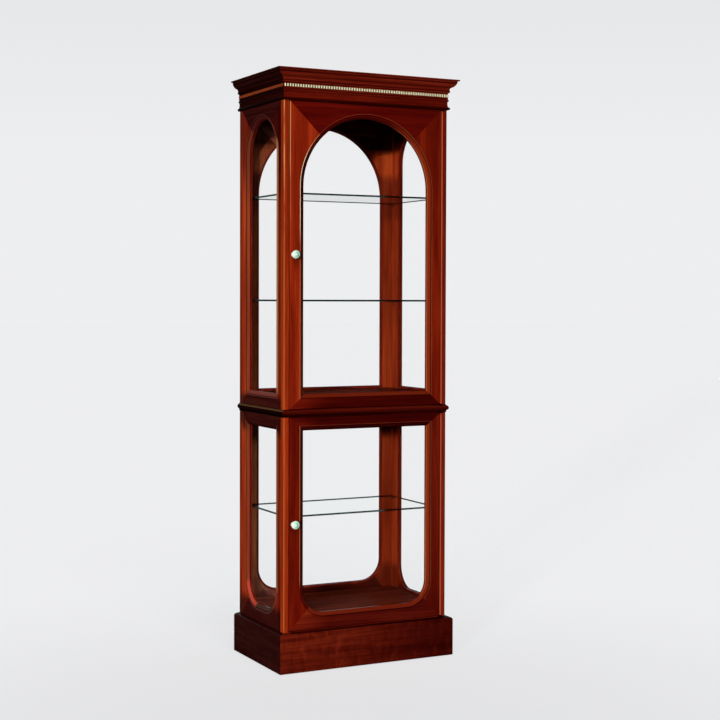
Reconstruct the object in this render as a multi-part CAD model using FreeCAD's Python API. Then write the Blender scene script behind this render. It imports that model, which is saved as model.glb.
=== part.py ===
"""Two-stage glazed display case: a tall, slim cabinet of mitred wooden frames.

Four corner posts run the whole height. Rails join them at the base, the waist and
the frieze. Glazed frames fill the sides and the back, and two glazed doors hang on
knife hinges at the right of the front. The upper frames end in a round arch, and
the lower ones have rounded bottom corners. A plinth, a waist moulding, and a neck,
dentil and crown moulding dress the front and both sides.

Millimetres. +X is the viewer's right, +Y is the back, +Z is up. The origin is on the
floor, at the middle of the overall width and depth.
"""
import FreeCAD, Part
import collections
import math
import os

# Carcase
body_width = 612.0
body_depth = 377.0
base_top = 137.0
lower_stage_height = 705.0
waist_height = 26.0
upper_stage_height = 1010.0
frieze_height = 83.0
top_board_thickness = 19.0
frame_thickness = 20.0
post_depth = 26.0
post_arris = 5.0
edge_round = 3.5
base_rail_height = 100.0
deck_thickness = 19.0
deck_drop = 10.0
deck_door_gap = 0.5
cleat_size = 16.0
cleat_inset = 12.0
glide_height = 5.0
glide_radius = 8.0
glide_nail_radius = 1.5
glide_nail_length = 16.0

# Glazed frames: stile and rail widths reach from the frame's place to the sight edge
door_gap = 2.0
door_stile = 53.0
side_stile = 47.0
back_stile = 48.0
upper_top_rail = 48.0
upper_bottom_rail = 50.0
lower_top_rail = 46.0
lower_bottom_rail = 55.0
back_bottom_rail = 74.0
window_corner_radius = 75.0
sticking_width = 15.0
sticking_depth = 9.0
sticking_quirk = 1.8
sticking_lip = 1.0
rebate_width = 9.0
glass_thickness = 4.0
glass_clear = 1.0
bead_width = 7.0
bead_clear = 0.2

# Mouldings: reach is how far each stands out from the body
plinth_reach = 20.0
plinth_lift = 3.0
plinth_drop = 2.0
plinth_slope_fall = 2.5
plinth_slope_run = 12.0
plinth_nose = 8.0
waist_reach = 7.6
waist_fillet = 1.0
waist_bead_height = 17.0
waist_bead_drop = 2.5
crown_reach = 32.0
crown_height = 43.0
crown_lip = 4.0
crown_quirk = 6.0
crown_ovolo_reach = 14.0
crown_ovolo_fall = 21.0
crown_foot_reach = 7.0
crown_foot_height = 6.0
dentil_band_height = 24.0
dentil_band_reach = 2.0
tooth_height = 9.0
tooth_width = 4.2
tooth_reach = 2.0
tooth_drop = 6.3
tooth_pitch = 9.4
neck_bead_reach = 7.4
neck_bead_radius = 5.0
neck_cove_reach = 1.2
neck_cove_depth = 0.6
neck_ovolo_height = 6.0

# Shelves, as heights of their undersides above the deck below
shelf_thickness = 6.0
shelf_clear = 3.0
middle_shelf_rise = 314.0
upper_shelf_rise = 666.0
lower_shelf_rise = 327.0
pin_radius = 3.0
pin_collar_radius = 5.0
pin_collar_length = 2.0
pin_reach = 11.0
pin_depth = 9.0
pin_setback = 12.0

# Knife hinges
eye_radius = 4.0
hinge_pin_radius = 1.8
hinge_running_clear = 0.05
leaf_thickness = 2.2
leaf_gap = 0.4
leaf_width = 10.0
leaf_length = 52.0
leaf_setback = 3.0
leaf_neck = 14.0

# Knobs, catches and strike plates
knob_inset = 14.0
upper_knob_rise = 507.0
lower_knob_rise = 353.0
knob_base_radius = 9.5
knob_base_length = 3.0
knob_neck_radius = 5.0
knob_base_step = 2.0
knob_neck_length = 7.0
knob_head_radius = 14.5
knob_back_length = 7.0
knob_front_length = 10.5
knob_rim_round = 3.0
knob_screw_radius = 2.0
knob_screw_bite = 9.0
knob_screw_head_radius = 4.5
knob_screw_head_length = 2.5
strike_width = 34.0
strike_height = 12.0
strike_thickness = 1.2
catch_width = 44.0
catch_depth = 13.0
catch_block_height = 15.0
catch_flange_height = 16.0
catch_flange_thickness = 2.5
catch_gap = 0.4
catch_inset = 90.0

# Levels and faces that follow from the sizes above
waist_bottom = base_top + lower_stage_height
waist_top = waist_bottom + waist_height
frieze_bottom = waist_top + upper_stage_height
frieze_top = frieze_bottom + frieze_height
total_height = frieze_top + top_board_thickness
half_width = body_width / 2
front_y = -(body_depth + crown_reach) / 2 + crown_reach
back_y = front_y + body_depth
inner_x = half_width - frame_thickness
inner_front_y = front_y + frame_thickness
inner_back_y = back_y - frame_thickness
side_span = body_depth - 2 * post_depth
front_span = 2 * inner_x
middle_deck_top = waist_top + upper_bottom_rail - deck_drop
bottom_deck_top = base_top + lower_bottom_rail - deck_drop
deck_front_y = inner_front_y + deck_door_gap
neck_top = total_height - crown_height - dentil_band_height
pivot_x = inner_x - door_gap / 2
pivot_y = front_y - eye_radius

Window = collections.namedtuple("Window", "half bottom top arched corner")


def vec(x, y, z):
    """A point or direction."""
    return FreeCAD.Vector(x, y, z)


def box(x0, x1, y0, y1, z0, z1):
    """A box between two corners."""
    return Part.makeBox(x1 - x0, y1 - y0, z1 - z0, vec(x0, y0, z0))


def flat_face(points):
    """A face on a closed polygon, without any point that repeats the one before it."""
    kept = []
    for point in points:
        if not kept or kept[-1].distanceToPoint(point) > 1e-6:
            kept.append(point)
    return Part.Face(Part.makePolygon(kept + [kept[0]]))


def profile_face(outline, to_space):
    """A face on an outline of (a, b) pairs. An entry of two pairs is an arc by way of the first."""
    edges = []
    start = to_space(*outline[0])
    first = start
    for entry in outline[1:]:
        if isinstance(entry[0], tuple):
            middle, end = (to_space(*pair) for pair in entry)
            edges.append(Part.Arc(start, middle, end).toShape())
        else:
            end = to_space(*entry)
            edges.append(Part.LineSegment(start, end).toShape())
        start = end
    edges.append(Part.LineSegment(start, first).toShape())
    return Part.Face(Part.Wire(edges))


def arc_from(start, end, upright):
    """An arc entry for profile_face that leaves its start upright, or else level."""
    da, db = end[0] - start[0], end[1] - start[1]
    if not upright:
        da, db = db, da
    radius = (da * da + db * db) / (2 * da)
    angle = math.atan2(db, abs(radius) - abs(da)) / 2
    step = (radius - radius * math.cos(angle), abs(radius) * math.sin(angle))
    if not upright:
        step = step[::-1]
    return (start[0] + step[0], start[1] + step[1]), end


def round_vertical_edges(solid, radius, places):
    """Rounds the upright edges that stand at the given (x, y) places."""
    chosen = []
    for edge in solid.Edges:
        ends = [vertex.Point for vertex in edge.Vertexes]
        upright = len(ends) == 2 and abs(ends[0].x - ends[1].x) + abs(ends[0].y - ends[1].y) < 1e-6
        if upright and any(math.hypot(ends[0].x - x, ends[0].y - y) < 1e-6 for x, y in places):
            chosen.append(edge)
    return solid.makeFillet(radius, chosen)


def turned(shapes, degrees, x, y):
    """The shapes turned about the vertical through the origin, then moved."""
    for shape in shapes:
        shape.rotate(vec(0, 0, 0), vec(0, 0, 1), degrees)
        shape.translate(vec(x, y, 0))
    return shapes


# Glazed frames, built facing the viewer: local X across, local Y into the case from the outer face

def window_face(window, grow, depth):
    """The window's outline, grown outwards, as a face at a depth."""
    half = window.half + grow
    low = window.bottom - grow
    edges = []

    def line(x0, z0, x1, z1):
        edges.append(Part.LineSegment(vec(x0, depth, z0), vec(x1, depth, z1)).toShape())

    def arc(cx, cz, radius, from_degrees, to_degrees):
        angles = (from_degrees, (from_degrees + to_degrees) / 2, to_degrees)
        points = [
            vec(cx + radius * math.cos(math.radians(a)), depth, cz + radius * math.sin(math.radians(a)))
            for a in angles
        ]
        edges.append(Part.Arc(*points).toShape())

    inset = window.corner + grow if window.corner else 0.0
    upright_bottom = low + inset
    spring = window.top - window.half if window.arched else window.top + grow
    line(-half + inset, low, half - inset, low)
    if window.corner:
        arc(half - inset, low + inset, inset, -90, 0)
    line(half, upright_bottom, half, spring)
    if window.arched:
        arc(0.0, spring, half, 0, 180)
    else:
        line(half, spring, -half, spring)
    line(-half, spring, -half, upright_bottom)
    if window.corner:
        arc(-half + inset, low + inset, inset, 180, 270)
    return Part.Face(Part.Wire(edges))


def window_prism(window, grow, depth_from, depth_to):
    """The window's outline, grown outwards, as a block between two depths."""
    return window_face(window, grow, depth_from).extrude(vec(0, depth_to - depth_from, 0))


def sticking_section(to_space):
    """What the moulding cutter takes off along a sight edge: a quirk, an ovolo and a lip.

    The pair is (distance outwards from the sight edge, depth from the outer face).
    """
    margin = 1.0
    turn = math.radians(45)
    run = sticking_width - sticking_lip
    fall = sticking_depth - sticking_quirk
    middle = (sticking_width - run * math.sin(turn), sticking_depth - fall * math.cos(turn))
    outline = [
        (-margin, -margin),
        (sticking_width, -margin),
        (sticking_width, sticking_quirk),
        (middle, (sticking_lip, sticking_depth)),
        (-margin, sticking_depth),
    ]
    return profile_face(outline, to_space)


def sticking_line(x, z, outward_x, outward_z, length):
    """The cutter along a straight sight edge that starts at (x, z)."""
    section = sticking_section(lambda out, depth: vec(x + outward_x * out, depth, z + outward_z * out))
    return section.extrude(vec(abs(outward_z) * length, 0, abs(outward_x) * length))


def sticking_arc(cx, cz, radius, from_degrees, sweep):
    """The cutter along a round sight edge about (cx, cz)."""
    section = sticking_section(lambda out, depth: vec(cx + radius + out, depth, cz))
    solid = section.revolve(vec(cx, 0, cz), vec(0, -1, 0), sweep)
    solid.rotate(vec(cx, 0, cz), vec(0, -1, 0), from_degrees)
    return solid


def sticking_cutters(window):
    """The cutters that shape each member's sight edge, by member name."""
    over = sticking_width
    spring = window.top - window.half
    low_over = 0.0 if window.corner else over
    upright_bottom = window.bottom + window.corner - low_over
    upright_top = spring if window.arched else window.top + over
    upright = upright_top - upright_bottom
    left = [sticking_line(-window.half, upright_bottom, -1, 0, upright)]
    right = [sticking_line(window.half, upright_bottom, 1, 0, upright)]
    flat_left = -window.half + window.corner - low_over
    bottom = [sticking_line(flat_left, window.bottom, 0, -1, -2 * flat_left)]
    if window.arched:
        arch = sticking_arc(0.0, spring, window.half, 0, 180)
        left.append(arch)
        right.append(arch)
        top = [arch]
    else:
        top = [sticking_line(-window.half - over, window.top, 0, 1, 2 * (window.half + over))]
    if window.corner:
        offset = window.half - window.corner
        corner_z = window.bottom + window.corner
        left_corner = sticking_arc(-offset, corner_z, window.corner, 180, 90)
        right_corner = sticking_arc(offset, corner_z, window.corner, 270, 90)
        left.append(left_corner)
        right.append(right_corner)
        bottom.extend([left_corner, right_corner])
    return {"left": left, "right": right, "top": top, "bottom": bottom}


def mitre_lines(half, bottom, top, window):
    """The line of each corner's joint, from the frame's outer corner into the opening.

    At a round corner or an arch it runs straight to the centre, so that the moulding is cut square.
    At a square corner it bends where the moulding starts, and crosses the moulding at 45 degrees.
    """
    lines = {}
    for side in (-1, 1):
        for end, outer_z, sight_z in ((-1, bottom, window.bottom), (1, top, window.top)):
            outer = vec(side * half, 0, outer_z)
            sight = vec(side * window.half, 0, sight_z)
            diagonal = vec(side, 0, end) * sticking_width
            if end > 0 and window.arched:
                line = [outer, vec(0, 0, window.top - window.half)]
            elif end < 0 and window.corner:
                line = [outer, sight - vec(side, 0, end) * window.corner]
            else:
                line = [outer, sight + diagonal, sight - diagonal]
            lines[side, end] = line
    return lines


def mitre_regions(half, bottom, top, window):
    """The block that each member keeps of a frame mitred at its four outer corners."""
    lines = mitre_lines(half, bottom, top, window)
    corners = {
        "left": lines[-1, -1] + lines[-1, 1][::-1],
        "right": lines[1, -1] + lines[1, 1][::-1],
        "top": lines[-1, 1] + lines[1, 1][::-1],
        "bottom": lines[-1, -1] + lines[1, -1][::-1],
    }
    return {name: flat_face(points).extrude(vec(0, frame_thickness, 0)) for name, points in corners.items()}


def glazed_frame(width, bottom, top, window):
    """A frame of four mitred members, its pane, and the bead that holds the pane from inside."""
    half = width / 2
    blank = box(-half, half, 0, frame_thickness, bottom, top)
    blank = round_vertical_edges(blank, edge_round, [(-half, 0), (half, 0)])
    blank = blank.cut(window_prism(window, 0.0, 0.0, frame_thickness))
    blank = blank.cut(window_prism(window, rebate_width, sticking_depth, frame_thickness))
    cutters = sticking_cutters(window)
    regions = mitre_regions(half, bottom, top, window)
    members = {name: blank.common(region).cut(cutters[name]) for name, region in regions.items()}
    pane_back = sticking_depth + glass_thickness
    pane = window_prism(window, rebate_width - glass_clear, sticking_depth, pane_back)
    bead = window_prism(window, rebate_width - bead_clear, pane_back, frame_thickness)
    bead = bead.cut(window_prism(window, rebate_width - bead_width, pane_back, frame_thickness))
    return members, pane, bead


def stage_window(half, stage_bottom, stage_top, bottom_rail, top_rail, arched, corner):
    """The sight opening of a frame that fills a stage."""
    return Window(half, stage_bottom + bottom_rail, stage_top - top_rail, arched, corner)


def fixed_frames():
    """The side and back frames of both stages, glued between the posts and the rails."""
    stages = {
        "upper": (waist_top, frieze_bottom, upper_bottom_rail, upper_top_rail, True, 0.0),
        "lower": (base_top, waist_bottom, lower_bottom_rail, lower_top_rail, False, window_corner_radius),
    }
    walls = {
        "left_side": (side_span, side_stile, -90, -half_width, (front_y + back_y) / 2),
        "right_side": (side_span, side_stile, 90, half_width, (front_y + back_y) / 2),
        "back": (front_span, back_stile, 180, 0.0, back_y),
    }
    frames = {}
    for stage, (bottom, top, bottom_rail, top_rail, arched, corner) in stages.items():
        for wall, (width, stile, degrees, x, y) in walls.items():
            low_rail = back_bottom_rail if (wall, stage) == ("back", "lower") else bottom_rail
            window = stage_window(width / 2 - stile, bottom, top, low_rail, top_rail, arched, corner)
            members, pane, bead = glazed_frame(width, bottom, top, window)
            turned([*members.values(), pane, bead], degrees, x, y)
            frames[wall, stage] = (members, pane, bead)
    return frames


def door(stage_bottom, stage_top, bottom_rail, top_rail, arched, corner):
    """A door leaf: a glazed frame that clears the posts and rails by the door gap."""
    width = front_span - 2 * door_gap
    sight_half = width / 2 - door_stile
    window = stage_window(sight_half, stage_bottom, stage_top, bottom_rail, top_rail, arched, corner)
    members, pane, bead = glazed_frame(width, stage_bottom + door_gap, stage_top - door_gap, window)
    turned([*members.values(), pane, bead], 0, 0.0, front_y)
    return members, pane, bead


# Carcase

def glide(x, y):
    """A furniture glide: a domed pad nailed into the foot of a post."""
    dome = 1.5
    outline = [
        (0.0, 0.0),
        (glide_radius - dome, 0.0),
        (glide_radius, dome),
        (glide_radius, glide_height),
        (glide_nail_radius, glide_height),
        (glide_nail_radius, glide_height + glide_nail_length),
        (0.0, glide_height + glide_nail_length),
    ]
    section = profile_face(outline, lambda radius, z: vec(x + radius, y, z))
    return section.revolve(vec(x, y, 0), vec(0, 0, 1), 360)


def post(side, end):
    """A corner post. side is -1 at the left and 1 at the right; end is -1 in front and 1 behind."""
    outer_x, edge_x = side * half_width, side * inner_x
    outer_y = front_y if end < 0 else back_y
    edge_y = outer_y - end * post_depth
    solid = box(min(outer_x, edge_x), max(outer_x, edge_x), min(outer_y, edge_y), max(outer_y, edge_y),
                glide_height, frieze_top)
    solid = round_vertical_edges(solid, post_arris, [(outer_x, outer_y)])
    solid = round_vertical_edges(solid, edge_round, [(edge_x, outer_y), (outer_x, edge_y)])
    foot = glide((outer_x + edge_x) / 2, (outer_y + edge_y) / 2)
    return solid.cut(foot), foot


def rail_ring(bottom, top):
    """Front, left, right and back rails between the posts, flush with their outer faces."""
    side_front, side_back = front_y + post_depth, back_y - post_depth
    return {
        "front": box(-inner_x, inner_x, front_y, inner_front_y, bottom, top),
        "left": box(-half_width, -inner_x, side_front, side_back, bottom, top),
        "right": box(inner_x, half_width, side_front, side_back, bottom, top),
        "back": box(-inner_x, inner_x, inner_back_y, back_y, bottom, top),
    }


def deck(top):
    """A board between the side frames, from the back of the door to the back frame."""
    return box(-inner_x, inner_x, deck_front_y, inner_back_y, top - deck_thickness, top)


def deck_cleats(top, rail_top):
    """Strips under a deck: one on each side frame, and one at the front that stands on the rail."""
    under = top - deck_thickness
    strips = []
    for side in (-1, 1):
        near, far = sorted((side * inner_x, side * (inner_x - cleat_size)))
        strips.append(box(near, far, deck_front_y + cleat_inset, inner_back_y - cleat_inset,
                          under - cleat_size, under))
    strips.append(box(-inner_x, inner_x, deck_front_y, deck_front_y + cleat_inset, rail_top, under))
    return strips


# Mouldings

def mitred_runs(outline):
    """Front, left and right runs of a moulding, mitred at the front corners.

    The outline's pairs are (reach out from the body's face, height).
    """
    reach = 4 * crown_reach
    along_x = 2 * (half_width + reach)
    along_y = body_depth + reach
    front = profile_face(outline, lambda out, z: vec(-half_width - reach, front_y - out, z))
    left = profile_face(outline, lambda out, z: vec(-half_width - out, front_y - reach, z))
    right = profile_face(outline, lambda out, z: vec(half_width + out, front_y - reach, z))
    raw = {
        "front": front.extrude(vec(along_x, 0, 0)),
        "left": left.extrude(vec(0, along_y, 0)),
        "right": right.extrude(vec(0, along_y, 0)),
    }
    corners = {
        "front": [(-half_width, front_y), (half_width, front_y),
                  (half_width + reach, front_y - reach), (-half_width - reach, front_y - reach)],
        "left": [(-half_width, front_y), (-half_width - reach, front_y - reach),
                 (-half_width - reach, back_y), (-half_width, back_y)],
        "right": [(half_width, front_y), (half_width, back_y),
                  (half_width + reach, back_y), (half_width + reach, front_y - reach)],
    }
    runs = {}
    for name, solid in raw.items():
        region = flat_face([vec(x, y, 0) for x, y in corners[name]]).extrude(vec(0, 0, total_height))
        runs[name] = solid.common(region)
    return runs


def plinth_runs():
    """Plinth boards with a sloped and rounded top edge."""
    top = base_top - plinth_drop
    slope_end = (plinth_slope_run, top - plinth_slope_fall)
    nose_end = (plinth_reach, top - plinth_slope_fall - plinth_nose)
    return mitred_runs([
        (0.0, plinth_lift),
        (plinth_reach, plinth_lift),
        nose_end,
        arc_from(nose_end, slope_end, True),
        (0.0, top),
    ])


def waist_runs():
    """The waist moulding: a round bead on a thin flat strip as tall as the waist rails."""
    bead_top = (waist_fillet, waist_top - waist_bead_drop)
    bead_bottom = (waist_fillet, bead_top[1] - waist_bead_height)
    bead_tip = (waist_reach, (bead_top[1] + bead_bottom[1]) / 2)
    return mitred_runs([
        (0.0, waist_bottom),
        (waist_fillet, waist_bottom),
        bead_bottom,
        (bead_tip, bead_top),
        (waist_fillet, waist_top),
        (0.0, waist_top),
    ])


def neck_runs():
    """The neck moulding under the dentil band: an ovolo, a deep cavetto and a bead at the foot."""
    bead_foot = (neck_bead_reach - neck_bead_radius, frieze_bottom)
    bead_top = (bead_foot[0], frieze_bottom + 2 * neck_bead_radius)
    cove_top = (neck_cove_reach, neck_top - neck_ovolo_height)
    cove_middle = (neck_cove_depth, (bead_top[1] + cove_top[1]) / 2)
    top = (dentil_band_reach, neck_top)
    return mitred_runs([
        (0.0, frieze_bottom),
        bead_foot,
        ((neck_bead_reach, frieze_bottom + neck_bead_radius), bead_top),
        (cove_middle, cove_top),
        arc_from(cove_top, top, False),
        (0.0, neck_top),
    ])


def crown_runs():
    """The crown: a lip at the top, an ovolo set back from it, a hollow, and a foot on the dentil band."""
    bottom = total_height - crown_height
    lip_bottom = total_height - crown_lip
    ovolo_top = (crown_reach - crown_quirk, lip_bottom)
    ovolo_end = (crown_ovolo_reach, lip_bottom - crown_ovolo_fall)
    hollow_end = (crown_foot_reach, bottom + crown_foot_height)
    return mitred_runs([
        (0.0, total_height),
        (crown_reach, total_height),
        (crown_reach, lip_bottom),
        ovolo_top,
        arc_from(ovolo_top, ovolo_end, True),
        arc_from(ovolo_end, hollow_end, False),
        (crown_foot_reach, bottom),
        (0.0, bottom),
    ])


def tooth_row(length, tooth_at):
    """Teeth spaced evenly along a run of the dentil strip."""
    count = round(length / tooth_pitch)
    step = length / count
    return [tooth_at((index + 0.5) * step - length / 2) for index in range(count)]


def dentil_runs():
    """The dentil strips: a flat band with a row of small blocks on each run."""
    bottom = neck_top
    top = neck_top + dentil_band_height
    high = top - tooth_drop
    low = high - tooth_height
    runs = mitred_runs([(0.0, bottom), (dentil_band_reach, bottom), (dentil_band_reach, top), (0.0, top)])
    near = dentil_band_reach
    far = dentil_band_reach + tooth_reach
    half_tooth = tooth_width / 2
    side_middle = (front_y - dentil_band_reach + back_y) / 2
    side_length = body_depth + dentil_band_reach

    def front_tooth(x):
        return box(x - half_tooth, x + half_tooth, front_y - far, front_y - near, low, high)

    def side_tooth(side, along):
        x0, x1 = sorted((side * (half_width + near), side * (half_width + far)))
        y = side_middle + along
        return box(x0, x1, y - half_tooth, y + half_tooth, low, high)

    rows = {
        "front": tooth_row(body_width + 2 * dentil_band_reach, front_tooth),
        "left": tooth_row(side_length, lambda along: side_tooth(-1, along)),
        "right": tooth_row(side_length, lambda along: side_tooth(1, along)),
    }
    return {name: run.fuse(rows[name]).removeSplitter() for name, run in runs.items()}


# Shelves

def shelf(underside):
    """A loose plate of glass between the side frames."""
    return box(-inner_x + shelf_clear, inner_x - shelf_clear,
               deck_front_y + shelf_clear, inner_back_y - shelf_clear,
               underside, underside + shelf_thickness)


def shelf_pin(side, y, underside):
    """A turned pin in a stile, with its top flattened to carry the shelf."""
    axis_z = underside - pin_radius
    start = inner_x + pin_depth
    outline = [
        (start, 0.0),
        (start, pin_radius),
        (inner_x, pin_radius),
        (inner_x, pin_collar_radius),
        (inner_x - pin_collar_length, pin_collar_radius),
        (inner_x - pin_collar_length, pin_radius),
        (inner_x - pin_reach, pin_radius),
        (inner_x - pin_reach, 0.0),
    ]
    section = profile_face(outline, lambda x, radius: vec(side * x, y, axis_z + radius))
    solid = section.revolve(vec(0, y, axis_z), vec(1, 0, 0), 360)
    above = box(-half_width, half_width, y - pin_collar_radius, y + pin_collar_radius,
                underside, underside + pin_collar_radius)
    return solid.cut(above)


def shelf_pins(underside):
    """The four pins under a shelf, two in each side."""
    places = (front_y + post_depth + pin_setback, back_y - post_depth - pin_setback)
    return [shelf_pin(side, y, underside) for side in (-1, 1) for y in places]


# Knife hinges: each has a leaf on the frame and one on the door, joined by a pin in front of the face

def leaf_face(z):
    """A hinge leaf in plan: a round eye, a neck and a strip let into the wood."""
    strip_right = inner_x - door_gap - leaf_setback
    strip_left = strip_right - leaf_length
    strip_front = front_y + (frame_thickness - leaf_width) / 2
    strip_back = strip_front + leaf_width
    eye = Part.Face(Part.Wire(Part.makeCircle(eye_radius, vec(pivot_x, pivot_y, z))))
    neck = flat_face([
        vec(pivot_x - eye_radius, pivot_y, z),
        vec(pivot_x, pivot_y + eye_radius, z),
        vec(strip_right, strip_back, z),
        vec(strip_right - leaf_neck, strip_back, z),
    ])
    strip = flat_face([
        vec(strip_left, strip_front, z),
        vec(strip_right, strip_front, z),
        vec(strip_right, strip_back, z),
        vec(strip_left, strip_back, z),
    ])
    return eye.fuse([neck, strip]).removeSplitter()


def knife_hinge(gap_middle, frame_way):
    """A hinge in the gap between a door and a rail. frame_way is 1 where the rail is above the door."""
    hinge = {}
    for owner, way in (("frame", frame_way), ("door", -frame_way)):
        face_z = gap_middle + way * leaf_gap / 2
        blank = leaf_face(face_z).extrude(vec(0, 0, way * leaf_thickness))
        bore = hinge_pin_radius + (hinge_running_clear if owner == "door" else 0.0)
        hole = Part.makeCylinder(bore, leaf_thickness, vec(pivot_x, pivot_y, face_z), vec(0, 0, way))
        hinge[f"{owner}_blank"] = blank
        hinge[f"{owner}_leaf"] = blank.cut(hole)
    pin_length = 2 * leaf_thickness + leaf_gap
    pin_foot = vec(pivot_x, pivot_y, gap_middle - pin_length / 2)
    hinge["pin"] = Part.makeCylinder(hinge_pin_radius, pin_length, pin_foot)
    return hinge


def let_in(wood, hinge, owner):
    """The wood with a mortise for a hinge leaf."""
    return wood.cut(hinge[f"{owner}_blank"])


# Knobs, catches and strike plates

def ball_arc(start, end):
    """An arc entry for profile_face, about a centre on the axis that a turned profile goes round."""
    centre = (math.hypot(*end) ** 2 - math.hypot(*start) ** 2) / (2 * (end[1] - start[1]))
    radius = math.hypot(start[0], start[1] - centre)
    angle = sum(math.atan2(out - centre, across) for across, out in (start, end)) / 2
    return (radius * math.cos(angle), centre + radius * math.sin(angle)), end


def knob(x, z):
    """A turned knob on the door's face: a base disc, a neck and a flattened ball with a rounded rim."""
    base_front = (knob_neck_radius + knob_base_step, knob_base_length)
    neck_front = (knob_neck_radius, knob_base_length + knob_neck_length)
    widest = (knob_head_radius, neck_front[1] + knob_back_length)
    tip = (0.0, widest[1] + knob_front_length)
    section = profile_face([
        (0.0, 0.0),
        (knob_base_radius, 0.0),
        (knob_base_radius, knob_base_length),
        base_front,
        neck_front,
        ball_arc(neck_front, widest),
        ball_arc(widest, tip),
    ], lambda radius, out: vec(x + radius, front_y - out, z))
    solid = section.revolve(vec(x, 0, z), vec(0, 1, 0), 360)
    rim_length = 2 * math.pi * knob_head_radius
    rim = [edge for edge in solid.Edges if abs(edge.Length - rim_length) < 1e-6]
    return solid.makeFillet(knob_rim_round, rim)


def knob_screw(x, z):
    """A machine screw through the stile from inside the case, into the knob."""
    shank = Part.makeCylinder(knob_screw_radius, frame_thickness + knob_screw_bite,
                              vec(x, front_y - knob_screw_bite, z), vec(0, 1, 0))
    seat = vec(x, inner_front_y, z)
    head = Part.makeCylinder(knob_screw_head_radius, knob_screw_head_length, seat, vec(0, 1, 0))
    return shank.fuse(head).removeSplitter()


def catch(rail_bottom):
    """A magnetic catch: a block behind the door, on a flange fixed to the back of the rail above."""
    x = -inner_x + catch_inset
    block_front = inner_front_y + strike_thickness + catch_gap
    outline = [
        (inner_front_y, rail_bottom + catch_flange_height),
        (inner_front_y + catch_flange_thickness, rail_bottom + catch_flange_height),
        (inner_front_y + catch_flange_thickness, rail_bottom),
        (block_front + catch_depth, rail_bottom),
        (block_front + catch_depth, rail_bottom - catch_block_height),
        (block_front, rail_bottom - catch_block_height),
        (block_front, rail_bottom),
        (inner_front_y, rail_bottom),
    ]
    section = profile_face(outline, lambda y, z: vec(x - catch_width / 2, y, z))
    return section.extrude(vec(catch_width, 0, 0))


def strike_plate(rail_bottom):
    """A steel plate on the back of the door, facing the catch's block."""
    x = -inner_x + catch_inset
    middle = rail_bottom - catch_block_height / 2 - door_gap / 2
    return box(x - strike_width / 2, x + strike_width / 2, inner_front_y, inner_front_y + strike_thickness,
               middle - strike_height / 2, middle + strike_height / 2)


# Assembly

def hung_door(name, stage_bottom, stage_top, bottom_rail, top_rail, arched, corner, knob_rise):
    """A door with its hardware. Returns its nodes, and its two hinges for the frame to take."""
    members, pane, bead = door(stage_bottom, stage_top, bottom_rail, top_rail, arched, corner)
    top_hinge = knife_hinge(stage_top - door_gap / 2, 1)
    bottom_hinge = knife_hinge(stage_bottom + door_gap / 2, -1)
    for key in ("right", "top"):
        members[key] = let_in(members[key], top_hinge, "door")
    for key in ("right", "bottom"):
        members[key] = let_in(members[key], bottom_hinge, "door")
    knob_x = -inner_x + door_gap + knob_inset
    knob_z = stage_bottom + knob_rise
    screw = knob_screw(knob_x, knob_z)
    members["left"] = members["left"].cut(screw)
    nodes = {
        f"{name}_knob_stile": [members["left"]],
        f"{name}_hinge_stile": [members["right"]],
        f"{name}_arched_rail" if arched else f"{name}_top_rail": [members["top"]],
        f"{name}_bottom_rail": [members["bottom"]],
        f"{name}_glass": [pane],
        f"{name}_glass_bead": [bead],
        f"{name}_knob": [knob(knob_x, knob_z).cut(screw)],
        f"{name}_knob_screw": [screw],
        f"{name}_hinge_leaves": [top_hinge["door_leaf"], bottom_hinge["door_leaf"]],
        f"{name}_strike_plate": [strike_plate(stage_top)],
    }
    return nodes, top_hinge, bottom_hinge


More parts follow.
